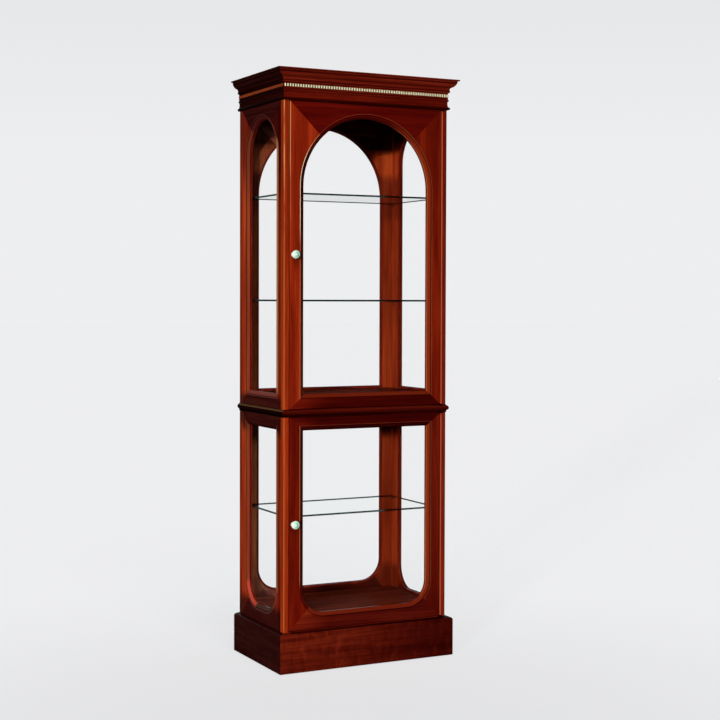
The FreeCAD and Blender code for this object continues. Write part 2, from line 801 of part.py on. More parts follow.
def build():
    """Every piece of the case, as lists of solids by node name."""
    nodes = {}
    posts = {}
    glides = []
    for side, side_name in ((-1, "left"), (1, "right")):
        for end, end_name in ((-1, "front"), (1, "rear")):
            solid, foot = post(side, end)
            posts[f"{end_name}_{side_name}_post"] = [solid]
            glides.append(foot)
    nodes["floor_glides"] = glides
    nodes.update(posts)

    base = rail_ring(base_top - base_rail_height, base_top)
    waist = rail_ring(waist_bottom, waist_top)
    frieze = rail_ring(frieze_bottom, frieze_top)
    waist_moulding = waist_runs()
    neck_moulding = neck_runs()

    upper, upper_top_hinge, upper_bottom_hinge = hung_door(
        "upper_door", waist_top, frieze_bottom, upper_bottom_rail, upper_top_rail, True, 0.0, upper_knob_rise)
    lower, lower_top_hinge, lower_bottom_hinge = hung_door(
        "lower_door", base_top, waist_bottom, lower_bottom_rail, lower_top_rail, False,
        window_corner_radius, lower_knob_rise)
    frieze["front"] = let_in(frieze["front"], upper_top_hinge, "frame")
    neck_moulding["front"] = let_in(neck_moulding["front"], upper_top_hinge, "frame")
    for hinge in (upper_bottom_hinge, lower_top_hinge):
        waist["front"] = let_in(waist["front"], hinge, "frame")
        waist_moulding["front"] = let_in(waist_moulding["front"], hinge, "frame")
    base["front"] = let_in(base["front"], lower_bottom_hinge, "frame")
    hinges = (upper_top_hinge, upper_bottom_hinge, lower_top_hinge, lower_bottom_hinge)

    plinth = plinth_runs()
    nodes["plinth_front"] = [plinth["front"]]
    nodes["plinth_sides"] = [plinth["left"], plinth["right"]]
    nodes["base_rails"] = list(base.values())
    nodes["waist_rails"] = list(waist.values())
    nodes["frieze_rails"] = list(frieze.values())
    nodes["waist_moulding"] = list(waist_moulding.values())
    nodes["neck_moulding"] = list(neck_moulding.values())
    nodes["dentil_strips"] = list(dentil_runs().values())
    nodes["crown_moulding"] = list(crown_runs().values())
    nodes["top_board"] = [box(-half_width, half_width, front_y, back_y, frieze_top, total_height)]
    nodes["bottom_deck"] = [deck(bottom_deck_top)]
    nodes["middle_deck"] = [deck(middle_deck_top)]
    nodes["deck_cleats"] = deck_cleats(bottom_deck_top, base_top) + deck_cleats(middle_deck_top, waist_top)

    undersides = {
        "upper_shelf": ("upper", middle_deck_top + upper_shelf_rise),
        "middle_shelf": ("upper", middle_deck_top + middle_shelf_rise),
        "lower_shelf": ("lower", bottom_deck_top + lower_shelf_rise),
    }
    pins = {"upper": [], "lower": []}
    for name, (stage, underside) in undersides.items():
        nodes[name] = [shelf(underside)]
        pins[stage].extend(shelf_pins(underside))
    nodes["shelf_pins"] = pins["upper"] + pins["lower"]

    beads = []
    for (wall, stage), (members, pane, bead) in fixed_frames().items():
        if wall != "back":
            members = {key: solid.cut(pins[stage]) for key, solid in members.items()}
        nodes.setdefault(f"{wall}_stiles", []).extend([members["left"], members["right"]])
        nodes.setdefault(f"{wall}_rails", []).extend([members["top"], members["bottom"]])
        nodes[f"{wall}_{stage}_glass"] = [pane]
        beads.append(bead)
    nodes["fixed_glass_beads"] = beads

    nodes["hinge_frame_leaves"] = [hinge["frame_leaf"] for hinge in hinges]
    nodes["hinge_pins"] = [hinge["pin"] for hinge in hinges]
    nodes["magnetic_catches"] = [catch(frieze_bottom), catch(waist_bottom)]
    nodes.update(upper)
    nodes.update(lower)
    return nodes


def main():
    os.makedirs("parts", exist_ok=True)
    for name, solids in build().items():
        pieces = [solid for shape in solids for solid in shape.Solids]
        shape = pieces[0] if len(pieces) == 1 else Part.makeCompound(pieces)
        shape.exportStep(f"parts/{name}.step")


main()
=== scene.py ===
"""Finish and light for a tall two-stage display case of stained wood, glass and brass.

The sections follow the case as it is put together: posts, rails, walls, decks, mouldings,
panes, shelves, doors and hardware, and then the studio. Metres; -Y is the front, +Z is up.
"""
import math

import bpy
import mathutils
import numpy as np
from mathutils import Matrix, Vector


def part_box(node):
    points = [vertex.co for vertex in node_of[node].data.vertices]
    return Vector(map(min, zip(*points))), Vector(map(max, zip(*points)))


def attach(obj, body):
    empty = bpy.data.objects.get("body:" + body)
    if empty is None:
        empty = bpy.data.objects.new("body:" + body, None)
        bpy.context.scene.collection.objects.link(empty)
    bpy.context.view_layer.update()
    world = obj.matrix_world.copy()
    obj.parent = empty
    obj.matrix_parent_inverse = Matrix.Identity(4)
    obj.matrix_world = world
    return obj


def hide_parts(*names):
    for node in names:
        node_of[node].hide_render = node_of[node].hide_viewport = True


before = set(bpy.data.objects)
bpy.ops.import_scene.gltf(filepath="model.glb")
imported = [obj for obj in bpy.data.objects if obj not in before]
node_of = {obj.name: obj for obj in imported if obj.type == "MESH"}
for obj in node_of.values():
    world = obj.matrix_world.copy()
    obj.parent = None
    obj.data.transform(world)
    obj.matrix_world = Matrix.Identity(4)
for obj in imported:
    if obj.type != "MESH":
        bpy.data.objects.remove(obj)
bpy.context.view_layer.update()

# Corner posts: four full-height sticks of cherry, planed, with the outer arris rounded over.
# Stained red-brown and lacquered after glue-up, with the grain running up the post.
POST_TONES = {
    "front_left_post": (0.250, 0.0200, 0.0036),
    "rear_left_post": (0.200, 0.0160, 0.0034),
    "front_right_post": (0.125, 0.0085, 0.0024),
    "rear_right_post": (0.120, 0.0090, 0.0026),
}
POST_INNER_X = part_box("front_right_post")[0].x
# Colours of painted highlights along the posts' edges, standing in for the light caught by the rounded
# arrises.
ARRIS_HIGHLIGHT = (0.30, 0.066, 0.014)
PALE_ARRIS_HIGHLIGHT = (0.46, 0.20, 0.058)
GAP_EDGE_HIGHLIGHT = (0.31, 0.052, 0.024)
EASED_EDGE = 0.0006
WELD_REACH = 0.00002
WHOLE_FACE_ANGLE = math.radians(0.4)
BEVEL_ANGLE = math.radians(28)
CREASE_ANGLE = math.radians(32)


def link_chain(tree, *sockets):
    """Joins output and input sockets pair by pair: out, in, out, in and so on."""
    for output, target in zip(sockets[0::2], sockets[1::2]):
        tree.links.new(output, target)


def math_node(tree, operation, first, second=None, clamp=False):
    """The output of one arithmetic step, where each operand is a socket or a number."""
    node = tree.nodes.new("ShaderNodeMath")
    node.operation = operation
    node.use_clamp = clamp
    for socket, value in zip(node.inputs, (first, second)):
        if isinstance(value, bpy.types.NodeSocket):
            tree.links.new(value, socket)
        elif value is not None:
            socket.default_value = value
    return node.outputs[0]


def grain_coordinates(tree, grain):
    """Object coordinates turned so that the first one runs along the grain, and a share of side boards.

    grain is x, y or z, or a function that gives 1 on the boards that run front to back and 0 on
    the boards that run across the case.
    """
    place = tree.nodes.new("ShaderNodeTexCoord").outputs["Object"]
    parts = tree.nodes.new("ShaderNodeSeparateXYZ")
    tree.links.new(place, parts.inputs[0])
    x, y, z = parts.outputs

    def combined(first, second, third):
        node = tree.nodes.new("ShaderNodeCombineXYZ")
        link_chain(tree, first, node.inputs[0], second, node.inputs[1], third, node.inputs[2])
        return node.outputs[0]

    turned = {"x": (x, y, z), "y": (y, x, z), "z": (z, x, y)}
    if grain in turned:
        return combined(*turned[grain]), None
    runs_back = grain(tree, x, y)
    mix = tree.nodes.new("ShaderNodeMix")
    mix.data_type = "VECTOR"
    link_chain(tree, runs_back, mix.inputs["Factor"],
               combined(x, y, z), mix.inputs[4], combined(y, x, z), mix.inputs[5])
    return mix.outputs[1], runs_back


def streak_noise(tree, coordinates, along, across, offset, detail, distortion):
    """Noise stretched along the grain: along and across are its cycles per metre."""
    mapping = tree.nodes.new("ShaderNodeMapping")
    mapping.inputs["Scale"].default_value = (along, across, across)
    mapping.inputs["Location"].default_value = (offset, offset * 1.7, offset * 0.6)
    noise = tree.nodes.new("ShaderNodeTexNoise")
    noise.inputs["Scale"].default_value = 1.0
    noise.inputs["Detail"].default_value = detail
    noise.inputs["Distortion"].default_value = distortion
    link_chain(tree, coordinates, mapping.inputs["Vector"], mapping.outputs[0], noise.inputs["Vector"])
    return noise.outputs["Fac"]


def ramp(tree, value, stops):
    """Colours blended by a value, from (place, colour) stops."""
    node = tree.nodes.new("ShaderNodeValToRGB")
    while len(node.color_ramp.elements) < len(stops):
        node.color_ramp.elements.new(0.5)
    for element, (place, colour) in zip(node.color_ramp.elements, stops):
        element.position = place
        element.color = (*colour, 1.0)
    tree.links.new(value, node.inputs[0])
    return node.outputs[0]


def tinted(colour, factors):
    """A colour with each part scaled by its own factor."""
    return tuple(part * factor for part, factor in zip(colour, factors))


def mixed(tree, colour, factor, tint, blend="MIX"):
    """A colour blended with a tint as far as a factor says; the tint is a socket or three numbers."""
    node = tree.nodes.new("ShaderNodeMix")
    node.data_type = "RGBA"
    node.blend_type = blend
    if isinstance(tint, bpy.types.NodeSocket):
        tree.links.new(tint, node.inputs["B"])
    else:
        node.inputs["B"].default_value = (*tint, 1.0)
    link_chain(tree, factor, node.inputs["Factor"], colour, node.inputs["A"])
    return node.outputs["Result"]


def rise(tree, value, start, end):
    """0 before the start, 1 past the end, and a smooth step between them."""
    node = tree.nodes.new("ShaderNodeMapRange")
    node.interpolation_type = "SMOOTHSTEP"
    node.inputs["From Min"].default_value = start
    node.inputs["From Max"].default_value = end
    tree.links.new(value, node.inputs["Value"])
    return node.outputs[0]


def band(tree, value, low, high, soft):
    """1 between two values, with soft ends."""
    up = rise(tree, value, low - soft, low + soft)
    return math_node(tree, "SUBTRACT", up, rise(tree, value, high - soft, high + soft), True)


def stained_wood(name, grain, tone, offset, side_shade=(1.0, 1.0, 1.0), roughness=0.3, coat=0.4,
                 mottle=0.0, wear_and_light=()):
    """Stained and lacquered wood: broad figure, fine fibres and short dark pores along the grain.

    tone is the mean colour. The side tint darkens the boards that run front to back, as painted shade.
    mottle adds the soft cross-grain blotches of wood cut near a burr. Each function in the last argument
    changes the colour by place, most of them as painted light and shade.
    """
    material = bpy.data.materials.new(name)
    material.use_nodes = True
    tree = material.node_tree
    shader = tree.nodes["Principled BSDF"]
    coordinates, runs_back = grain_coordinates(tree, grain)
    figure = streak_noise(tree, coordinates, 1.6, 26.0, offset, 3.0, 0.9)
    fibres = streak_noise(tree, coordinates, 9.0, 520.0, offset, 2.0, 0.2)
    pores = streak_noise(tree, coordinates, 42.0, 1500.0, offset, 1.0, 0.0)
    value = math_node(tree, "ADD", math_node(tree, "MULTIPLY", figure, 0.62),
                      math_node(tree, "MULTIPLY", fibres, 0.38))
    colour = ramp(tree, value, ((0.35, tinted(tone, (0.54, 0.42, 0.42))), (0.50, tone),
                                (0.65, tinted(tone, (1.60, 2.30, 2.10)))))
    pore_mask = math_node(tree, "MULTIPLY", math_node(tree, "SUBTRACT", pores, 0.60, True), 2.6, True)
    colour = mixed(tree, colour, pore_mask, (0.45, 0.36, 0.34), "MULTIPLY")
    if mottle:
        blotch = streak_noise(tree, coordinates, 44.0, 19.0, offset, 3.0, 0.6)
        light = math_node(tree, "MULTIPLY", rise(tree, blotch, 0.54, 0.74), mottle)
        unlit = math_node(tree, "SUBTRACT", 1.0, blotch)
        dark = math_node(tree, "MULTIPLY", rise(tree, unlit, 0.50, 0.70), mottle)
        colour = mixed(tree, colour, dark, (0.40, 0.32, 0.36), "MULTIPLY")
        colour = mixed(tree, colour, light, tinted(tone, (2.0, 3.0, 2.6)))
    if runs_back is not None:
        colour = mixed(tree, colour, runs_back, side_shade, "MULTIPLY")
    place = tree.nodes.new("ShaderNodeSeparateXYZ")
    tree.links.new(tree.nodes["Texture Coordinate"].outputs["Object"], place.inputs[0])
    for wear_and_light_mark in wear_and_light:
        colour = wear_and_light_mark(tree, colour, *place.outputs)
    rough = math_node(tree, "ADD", math_node(tree, "MULTIPLY", fibres, 0.16), roughness - 0.08)
    bump = tree.nodes.new("ShaderNodeBump")
    bump.inputs["Strength"].default_value = 0.12
    bump.inputs["Distance"].default_value = 0.0004
    link_chain(tree, colour, shader.inputs["Base Color"], rough, shader.inputs["Roughness"],
               fibres, bump.inputs["Height"], bump.outputs[0], shader.inputs["Normal"])
    shader.inputs["Specular IOR Level"].default_value = 0.0
    shader.inputs["Coat Weight"].default_value = coat
    shader.inputs["Coat Roughness"].default_value = 0.12
    return material


def painted_arris_highlight(corner_x, corner_y, near, far, colour, rising=None):
    """Painted highlight along an upright edge: a paler colour close to the corner line, in patches.

    rising is a pair of heights between which the painted highlight sets in, from below to above.
    """
    turn_x = math.copysign(1.0, corner_x)
    turn_y = math.copysign(1.0, corner_y)

    def wear_and_light_mark(tree, stain, x, y, z):
        reach = math_node(tree, "ADD", math_node(tree, "MULTIPLY", x, turn_x),
                          math_node(tree, "MULTIPLY", y, turn_y))
        short = math_node(tree, "SUBTRACT", reach, abs(corner_x) + abs(corner_y))
        place = tree.nodes["Texture Coordinate"].outputs["Object"]
        patch = streak_noise(tree, place, 60.0, 7.0, 0.7, 2.0, 0.0)
        amount = math_node(tree, "MULTIPLY", rise(tree, short, -far, -near),
                           rise(tree, patch, 0.25, 0.55))
        if rising is not None:
            amount = math_node(tree, "MULTIPLY", amount, rise(tree, z, *rising))
        return mixed(tree, stain, amount, colour)

    return wear_and_light_mark


def dress(node, material, edge=EASED_EDGE):
    """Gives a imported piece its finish, eases its sharp edges and smooths its round faces.

    A run moulding has its own rounds and arrises, so with no edge it is only given its finish.
    """
    piece = node_of[node]
    piece.data.materials.clear()
    piece.data.materials.append(material)
    if edge is None:
        return
    weld = piece.modifiers.new("joined_facets", "WELD")
    weld.merge_threshold = WELD_REACH
    flat = piece.modifiers.new("whole_faces", "DECIMATE")
    flat.decimate_type = "DISSOLVE"
    flat.angle_limit = WHOLE_FACE_ANGLE
    eased = piece.modifiers.new("eased_edges", "BEVEL")
    eased.width = edge
    eased.segments = 2
    eased.limit_method = "ANGLE"
    eased.angle_limit = BEVEL_ANGLE
    smooth = piece.modifiers.new("smooth_rounds", "NODES")
    smooth.node_group = smooth_rounds
    even = piece.modifiers.new("flat_faces", "WEIGHTED_NORMAL")
    even.keep_sharp = True


def smoothing_group():
    """Shades every face smooth from its own shape, and keeps edges that turn past the crease angle."""
    group = bpy.data.node_groups.new("smooth_rounds", "GeometryNodeTree")
    group.interface.new_socket("Geometry", in_out="INPUT", socket_type="NodeSocketGeometry")
    group.interface.new_socket("Geometry", in_out="OUTPUT", socket_type="NodeSocketGeometry")
    entry = group.nodes.new("NodeGroupInput")
    leave = group.nodes.new("NodeGroupOutput")
    plain = group.nodes.new("GeometryNodeRemoveAttribute")
    plain.inputs["Name"].default_value = "custom_normal"
    faces = group.nodes.new("GeometryNodeSetShadeSmooth")
    edges = group.nodes.new("GeometryNodeSetShadeSmooth")
    edges.domain = "EDGE"
    edges.inputs["Shade Smooth"].default_value = False
    angle = group.nodes.new("GeometryNodeInputMeshEdgeAngle")
    sharp = group.nodes.new("FunctionNodeCompare")
    sharp.inputs[1].default_value = CREASE_ANGLE
    link_chain(group, entry.outputs[0], plain.inputs["Geometry"],
               plain.outputs[0], faces.inputs["Geometry"], faces.outputs[0], edges.inputs["Geometry"],
               angle.outputs["Unsigned Angle"], sharp.inputs[0],
               sharp.outputs[0], edges.inputs["Selection"], edges.outputs[0], leave.inputs[0])
    return group


def painted_band(axis, low, high, colour, soft=0.0004):
    """A band of another colour between two values of one coordinate, where axis 0, 1, 2 is x, y, z; on
    the posts it paints a highlight line and bands of shade.
    """
    def wear_and_light_mark(tree, stain, *place):
        return mixed(tree, stain, band(tree, place[axis], low, high, soft), colour)

    return wear_and_light_mark


smooth_rounds = smoothing_group()
left_corner = tuple(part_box("front_left_post")[0])[:2]
# Painted light on the posts: a pale highlight along the front left arris, paler higher up, a reddish
# highlight beside the door gap on the front right post, and painted shade at the foot, by the waist and
# at the top of the rear left post.
POST_PAINTED_LIGHT = {
    "front_left_post": (painted_arris_highlight(*left_corner, 0.0034, 0.0046, ARRIS_HIGHLIGHT),
                        painted_arris_highlight(*left_corner, 0.0032, 0.0042, PALE_ARRIS_HIGHLIGHT, (1.35, 1.80))),
    "front_right_post": (painted_band(0, POST_INNER_X - 0.001, POST_INNER_X + 0.003, GAP_EDGE_HIGHLIGHT),),
    "rear_left_post": (painted_band(2, -0.1, 0.20, (0.040, 0.0070, 0.0040), 0.03),
                       painted_band(2, 0.80, 0.900, (0.060, 0.0090, 0.0050), 0.015),
                       painted_band(2, 1.72, 1.95, (0.115, 0.0125, 0.0060), 0.06)),
}
for number, (node, tone) in enumerate(POST_TONES.items()):
    wear_and_light = POST_PAINTED_LIGHT.get(node, ())
    dress(node, stained_wood(f"{node}_wood", "z", tone, 3.1 * number, coat=0.18, wear_and_light=wear_and_light))

# Carcase rails: three rings of four rails, glued between the posts at the base, waist and frieze.
# The same stained cherry, with the grain along each rail; the side rails are darkened as painted shade.
RAIL_TONE = (0.075, 0.0030, 0.0012)
RAIL_SIDE_SHADE = (0.40, 0.70, 0.90)


def rail_runs_back(tree, x, y):
    """1 on the rails of the two sides, which lie outside the posts' inner faces."""
    return math_node(tree, "GREATER_THAN", math_node(tree, "ABSOLUTE", x), POST_INNER_X)


for number, node in enumerate(("base_rails", "waist_rails", "frieze_rails")):
    dress(node, stained_wood(f"{node}_wood", rail_runs_back, RAIL_TONE, 1.3 + number, RAIL_SIDE_SHADE))

# Side and back walls: mitred frames of stiles and rails with a moulded sight edge, two to each wall.
# Cherry again, with the grain along each member, so the colour breaks at the mitres.
# They are glued between the posts; the right and back walls, seen from inside, have darker tones as
# painted shade.
WALL_TONES = {
    "left_side": ((0.335, 0.0330, 0.0064), (0.030, 0.0034, 0.0026)),
    "right_side": ((0.132, 0.0128, 0.0028), (0.030, 0.0034, 0.0020)),
    "back": ((0.126, 0.0134, 0.0030), (0.022, 0.0022, 0.0012)),
}
UPPER_SILL = 0.918
LOWER_SIGHT = (0.192, 0.796)
LOWER_CORNER = 0.075
SIDE_MIDDLE_Y = 0.016
SIDE_HALF = 0.1155
SIDE_SPRING = 1.7145
RING_WIDTH = 0.015
QUIRK_WIDTH = 0.0022
QUIRK_OVERLAP = 0.0003
QUIRK_SOFT = 0.0004
QUIRK_SHADE = (0.20, 0.16, 0.22)
LINE_GAP = 0.0004
LINE_SOFT = 0.0005
INNER_LINE = (-0.002, 0.0022)
BAND_SOFT = 0.02


def darker_at_front(edge_y, tint):
    """The front boards of a wall are darker than the rear ones."""
    def wear_and_light_mark(tree, stain, x, y, z):
        return mixed(tree, stain, math_node(tree, "LESS_THAN", y, edge_y), tint, "MULTIPLY")

    return wear_and_light_mark


def painted_shade_above(start, end, tint):
    """Painted shade, darker towards the top of a wall."""
    def wear_and_light_mark(tree, stain, x, y, z):
        return mixed(tree, stain, rise(tree, z, start, end), tint, "MULTIPLY")

    return wear_and_light_mark


def painted_light_bands(*bands, soft=0.0008):
    """Darker bands of painted shade and paler bands of painted light between two heights, each given as
    (low, high, tint).
    """
    def wear_and_light_mark(tree, stain, x, y, z):
        for low, high, tint in bands:
            stain = mixed(tree, stain, band(tree, z, low, high, soft), tint, "MULTIPLY")
        return stain

    return wear_and_light_mark


def squares_added(tree, first, second):
    """The sum of two squares."""
    return math_node(tree, "ADD", math_node(tree, "MULTIPLY", first, first),
                     math_node(tree, "MULTIPLY", second, second))


def past_arched_sight(tree, across, z, half, spring):
    """Distance outwards from an arched opening: past its half circle and sides, or below its sill."""
    over = math_node(tree, "MAXIMUM", math_node(tree, "SUBTRACT", z, spring), 0.0)
    radius = math_node(tree, "SQRT", squares_added(tree, across, over))
    round_part = math_node(tree, "SUBTRACT", radius, half)
    return math_node(tree, "MAXIMUM", round_part, math_node(tree, "SUBTRACT", UPPER_SILL, z))


def past_lower_sight(tree, across, z, half):
    """Distance outwards from a lower opening, which has a square head and round lower corners."""
    wide = math_node(tree, "SUBTRACT", math_node(tree, "ABSOLUTE", across), half - LOWER_CORNER)
    low = math_node(tree, "SUBTRACT", LOWER_SIGHT[0] + LOWER_CORNER, z)
    wide_in = math_node(tree, "MAXIMUM", wide, 0.0)
    low_in = math_node(tree, "MAXIMUM", low, 0.0)
    radius = math_node(tree, "SQRT", squares_added(tree, wide_in, low_in))
    round_part = math_node(tree, "SUBTRACT", radius, LOWER_CORNER)
    return math_node(tree, "MAXIMUM", round_part, math_node(tree, "SUBTRACT", z, LOWER_SIGHT[1]))


def moulded_ring(past, ring_colour, ring_share, line_colour, line_share, inner_share=0.0,
                 line_width=0.0020):
    """The moulding round the glass: a tone of painted light or shade for the way it faces, painted shade
    in its quirk, and painted highlight lines at its edges.

    past is a function that gives the distance outwards from the sight edge.
    """
    def wear_and_light_mark(tree, stain, x, y, z):
        reach = past(tree, x, y, z)
        ring = math_node(tree, "MULTIPLY", math_node(tree, "LESS_THAN", reach, RING_WIDTH), ring_share)
        quirk = band(tree, reach, RING_WIDTH - QUIRK_WIDTH, RING_WIDTH + QUIRK_OVERLAP, QUIRK_SOFT)
        line_start = RING_WIDTH + LINE_GAP
        outer = band(tree, reach, line_start, line_start + line_width, LINE_SOFT)
        inner = band(tree, reach, *INNER_LINE, LINE_SOFT)
        line = math_node(tree, "ADD", math_node(tree, "MULTIPLY", outer, line_share),
                         math_node(tree, "MULTIPLY", inner, inner_share))
        toned = mixed(tree, stain, ring, ring_colour)
        lined = mixed(tree, toned, line, line_colour)
        return mixed(tree, lined, quirk, QUIRK_SHADE, "MULTIPLY")

    return wear_and_light_mark


def only_between(axis, low, high, wear_and_light_mark, soft=0.001):
    """A mark of painted light and shade, kept between two values of one coordinate, where axis 0, 1, 2 is
    x, y, z.
    """
    def limited(tree, stain, *place):
        return mixed(tree, stain, band(tree, place[axis], low, high, soft), wear_and_light_mark(tree, stain, *place))

    return limited


def side_sight(tree, x, y, z):
    """Distance outwards from the two openings of a side wall."""
    across = math_node(tree, "SUBTRACT", y, SIDE_MIDDLE_Y)
    upper = past_arched_sight(tree, across, z, SIDE_HALF, SIDE_SPRING)
    lower = past_lower_sight(tree, across, z, SIDE_HALF)
    return math_node(tree, "MINIMUM", upper, lower)


# Painted highlights on the left wall's sight mouldings: a gold line standing in for reflected backdrop
# light, and a red highlight round the rear lower corner; sill, waist and arch rings in tones of painted
# light with painted highlight lines.
GOLD_HIGHLIGHT = (0.40, 0.185, 0.062)
RED_CORNER_HIGHLIGHT = (0.42, 0.050, 0.030)
REAR_BOARDS = (0.0, 0.2)
FRONT_BOARDS = (-0.2, 0.0)
REAR_CORNER = (0.06, 0.2)
RED_HIGHLIGHT_HEIGHTS = (0.168, 0.258)
FOOT_HEIGHTS = (0.10, 0.26)
LOWER_STILE_HEIGHTS = (0.26, 0.79)
WAIST_HEIGHTS = (0.89, 0.93)
UPPER_STILE_HEIGHTS = (0.925, 1.75)
ARCH_HEIGHTS = (1.60, 1.90)
BACK_LEFT_STILE = (-0.32, -0.14)
BACK_LEFT_RAIL = (-0.32, -0.10)
gold_highlight_edge = moulded_ring(side_sight, GOLD_HIGHLIGHT, 0.6, GOLD_HIGHLIGHT, 0.85, line_width=0.0125)
dim_highlight_edge = moulded_ring(side_sight, GOLD_HIGHLIGHT, 0.3, GOLD_HIGHLIGHT, 0.30, line_width=0.0125)
red_highlight_ring = moulded_ring(side_sight, RED_CORNER_HIGHLIGHT, 0.8, RED_CORNER_HIGHLIGHT, 0.0)
red_highlight_corner = only_between(2, *RED_HIGHLIGHT_HEIGHTS, red_highlight_ring, 0.01)
sill_ring = moulded_ring(side_sight, (0.060, 0.026, 0.017), 0.85, (0.150, 0.050, 0.055), 0.55,
                         line_width=0.0035)
waist_ring = moulded_ring(side_sight, (0.190, 0.046, 0.032), 0.75, (0.260, 0.080, 0.060), 0.5)
arch_ring = moulded_ring(side_sight, (0.070, 0.0095, 0.0070), 0.75, (0.150, 0.034, 0.030), 0.6)
front_boards_tone = darker_at_front(0.0, (0.40, 0.29, 0.58))
# Inside the case: painted shade at the top of the right and back walls, a band of painted light below it
# with painted shade under that, painted shade under the waist and at the foot, and paler painted light on
# the back's left stile and rails.
shaded_top = painted_shade_above(1.745, 1.775, (0.06, 0.04, 0.06))
inner_painted_light = painted_light_bands((1.670, 1.900, (1.6, 1.6, 1.4)), (1.520, 1.670, (0.66, 0.58, 0.75)),
                               (0.735, 0.85, (0.22, 0.18, 0.25)), (-0.1, 0.265, (0.42, 0.36, 0.45)),
                               soft=BAND_SOFT)
back_left_painted_light = painted_light_bands((0.20, 0.80, (1.7, 4.6, 7.5)), (0.10, 0.265, (1.3, 1.5, 1.8)),
                                   (0.92, 1.66, (0.62, 1.1, 1.6)), (1.66, 1.82, (0.70, 1.3, 2.6)),
                                   (1.775, 1.82, (6.0, 7.0, 5.0)), soft=BAND_SOFT)
back_rail_painted_light = painted_light_bands((0.10, 0.25, (4.0, 12.0, 16.0)), (1.60, 1.82, (4.4, 8.0, 10.0)),
                                   soft=BAND_SOFT)
# Painted light and shade on the wall stiles and rails, with darker front boards: shade towards the top,
# bands of shade and light, and ring tones and highlight lines on the sight mouldings.
STILE_PAINTED_LIGHT = {
    "left_side": (
        painted_shade_above(1.48, 1.72, (0.32, 0.21, 0.34)),
        front_boards_tone,
        painted_light_bands((0.780, 0.905, (0.20, 0.24, 0.45)), (-0.1, 0.205, (0.22, 0.26, 0.50)),
                        soft=BAND_SOFT),
        moulded_ring(side_sight, (0.115, 0.0270, 0.0135), 0.7, (0.42, 0.120, 0.060), 0.5),
        only_between(1, *FRONT_BOARDS, only_between(2, *UPPER_STILE_HEIGHTS, gold_highlight_edge, 0.02)),
        only_between(1, *FRONT_BOARDS, only_between(2, *LOWER_STILE_HEIGHTS, dim_highlight_edge, 0.01)),
        only_between(1, *REAR_BOARDS, red_highlight_corner),
    ),
    "right_side": (shaded_top, front_boards_tone, inner_painted_light),
    "back": (shaded_top, inner_painted_light, only_between(0, *BACK_LEFT_STILE, back_left_painted_light)),
}
RAIL_PAINTED_LIGHT = {
    "left_side": (
        only_between(2, *FOOT_HEIGHTS, sill_ring, 0.005),
        only_between(2, *WAIST_HEIGHTS, waist_ring, 0.002),
        only_between(2, *ARCH_HEIGHTS, arch_ring, 0.01),
        only_between(1, *REAR_CORNER, red_highlight_corner),
    ),
    "right_side": (),
    "back": (only_between(0, *BACK_LEFT_RAIL, back_rail_painted_light),),
}
for number, (wall, (stile_tone, rail_tone)) in enumerate(WALL_TONES.items()):
    across = "x" if wall == "back" else "y"
    gloss = 0.2 if wall == "left_side" else 0.08
    dress(f"{wall}_stiles", stained_wood(f"{wall}_stile_wood", "z", stile_tone, 7.0 + number,
                                         coat=gloss, wear_and_light=STILE_PAINTED_LIGHT[wall]))
    dress(f"{wall}_rails", stained_wood(f"{wall}_rail_wood", across, rail_tone, 11.0 + number,
                                        coat=0.6 * gloss, wear_and_light=RAIL_PAINTED_LIGHT[wall]))

# Decks: the two solid floors of the stages with the cleats under their edges, and the top board.
# Wide cherry boards, stained dark and left with a low sheen, with the grain across the case.
# The decks lie on their cleats, and the top board lies on the frieze rails.
DECK_TONE = (0.048, 0.0056, 0.0024)
DECK_FINISH = {"roughness": 0.35, "coat": 0.015}
DAYLIGHT_SLANT = 0.51
DAYLIGHT_EDGE = (0.18, 0.24)
WINDOW_LIGHT_TINT = (2.8, 5.2, 7.6)


def painted_window_light(tree, stain, x, y, z):
    """Painted light: the left rear end of the lower deck is paler, as if daylight from a side window fell
    on it.
    """
    aside = math_node(tree, "SUBTRACT", math_node(tree, "MULTIPLY", y, DAYLIGHT_SLANT), x)
    return mixed(tree, stain, rise(tree, aside, *DAYLIGHT_EDGE), WINDOW_LIGHT_TINT, "MULTIPLY")


deck_wood = stained_wood("deck_wood", "x", DECK_TONE, 2.3, **DECK_FINISH)
for node in ("middle_deck", "deck_cleats"):
    dress(node, deck_wood)
dress("bottom_deck", stained_wood("bottom_deck_wood", "x", DECK_TONE, 2.3, wear_and_light=(painted_window_light,),
                                  **DECK_FINISH))
dress("top_board", stained_wood("top_board_wood", "x", (0.030, 0.0030, 0.0016), 6.1, coat=0.03))

# Mouldings: plinth boards, waist moulding, neck, and crown, mitred round the front and the sides.
# Run from straight-grained cherry in lengths, pinned and glued to the carcase.
BODY_FRONT_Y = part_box("front_left_post")[0].y
BODY_HALF_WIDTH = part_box("front_right_post")[1].x
DOOR_LEFT_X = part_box("upper_door_knob_stile")[0].x
# The side runs of the mouldings and dentils are darkened as painted shade.
MOULDING_SIDE_SHADE = (0.16, 0.30, 0.55)
HOLLOW_SHADE = (0.30, 0.24, 0.30)
BEAD_TOP = (0.8615, 0.8670)
BEAD_HIGHLIGHT = (0.105, 0.050, 0.018)
UNDER_DOOR = (0.1312, 0.1400)
PLINTH_ENDS = (-0.34, 0.36)
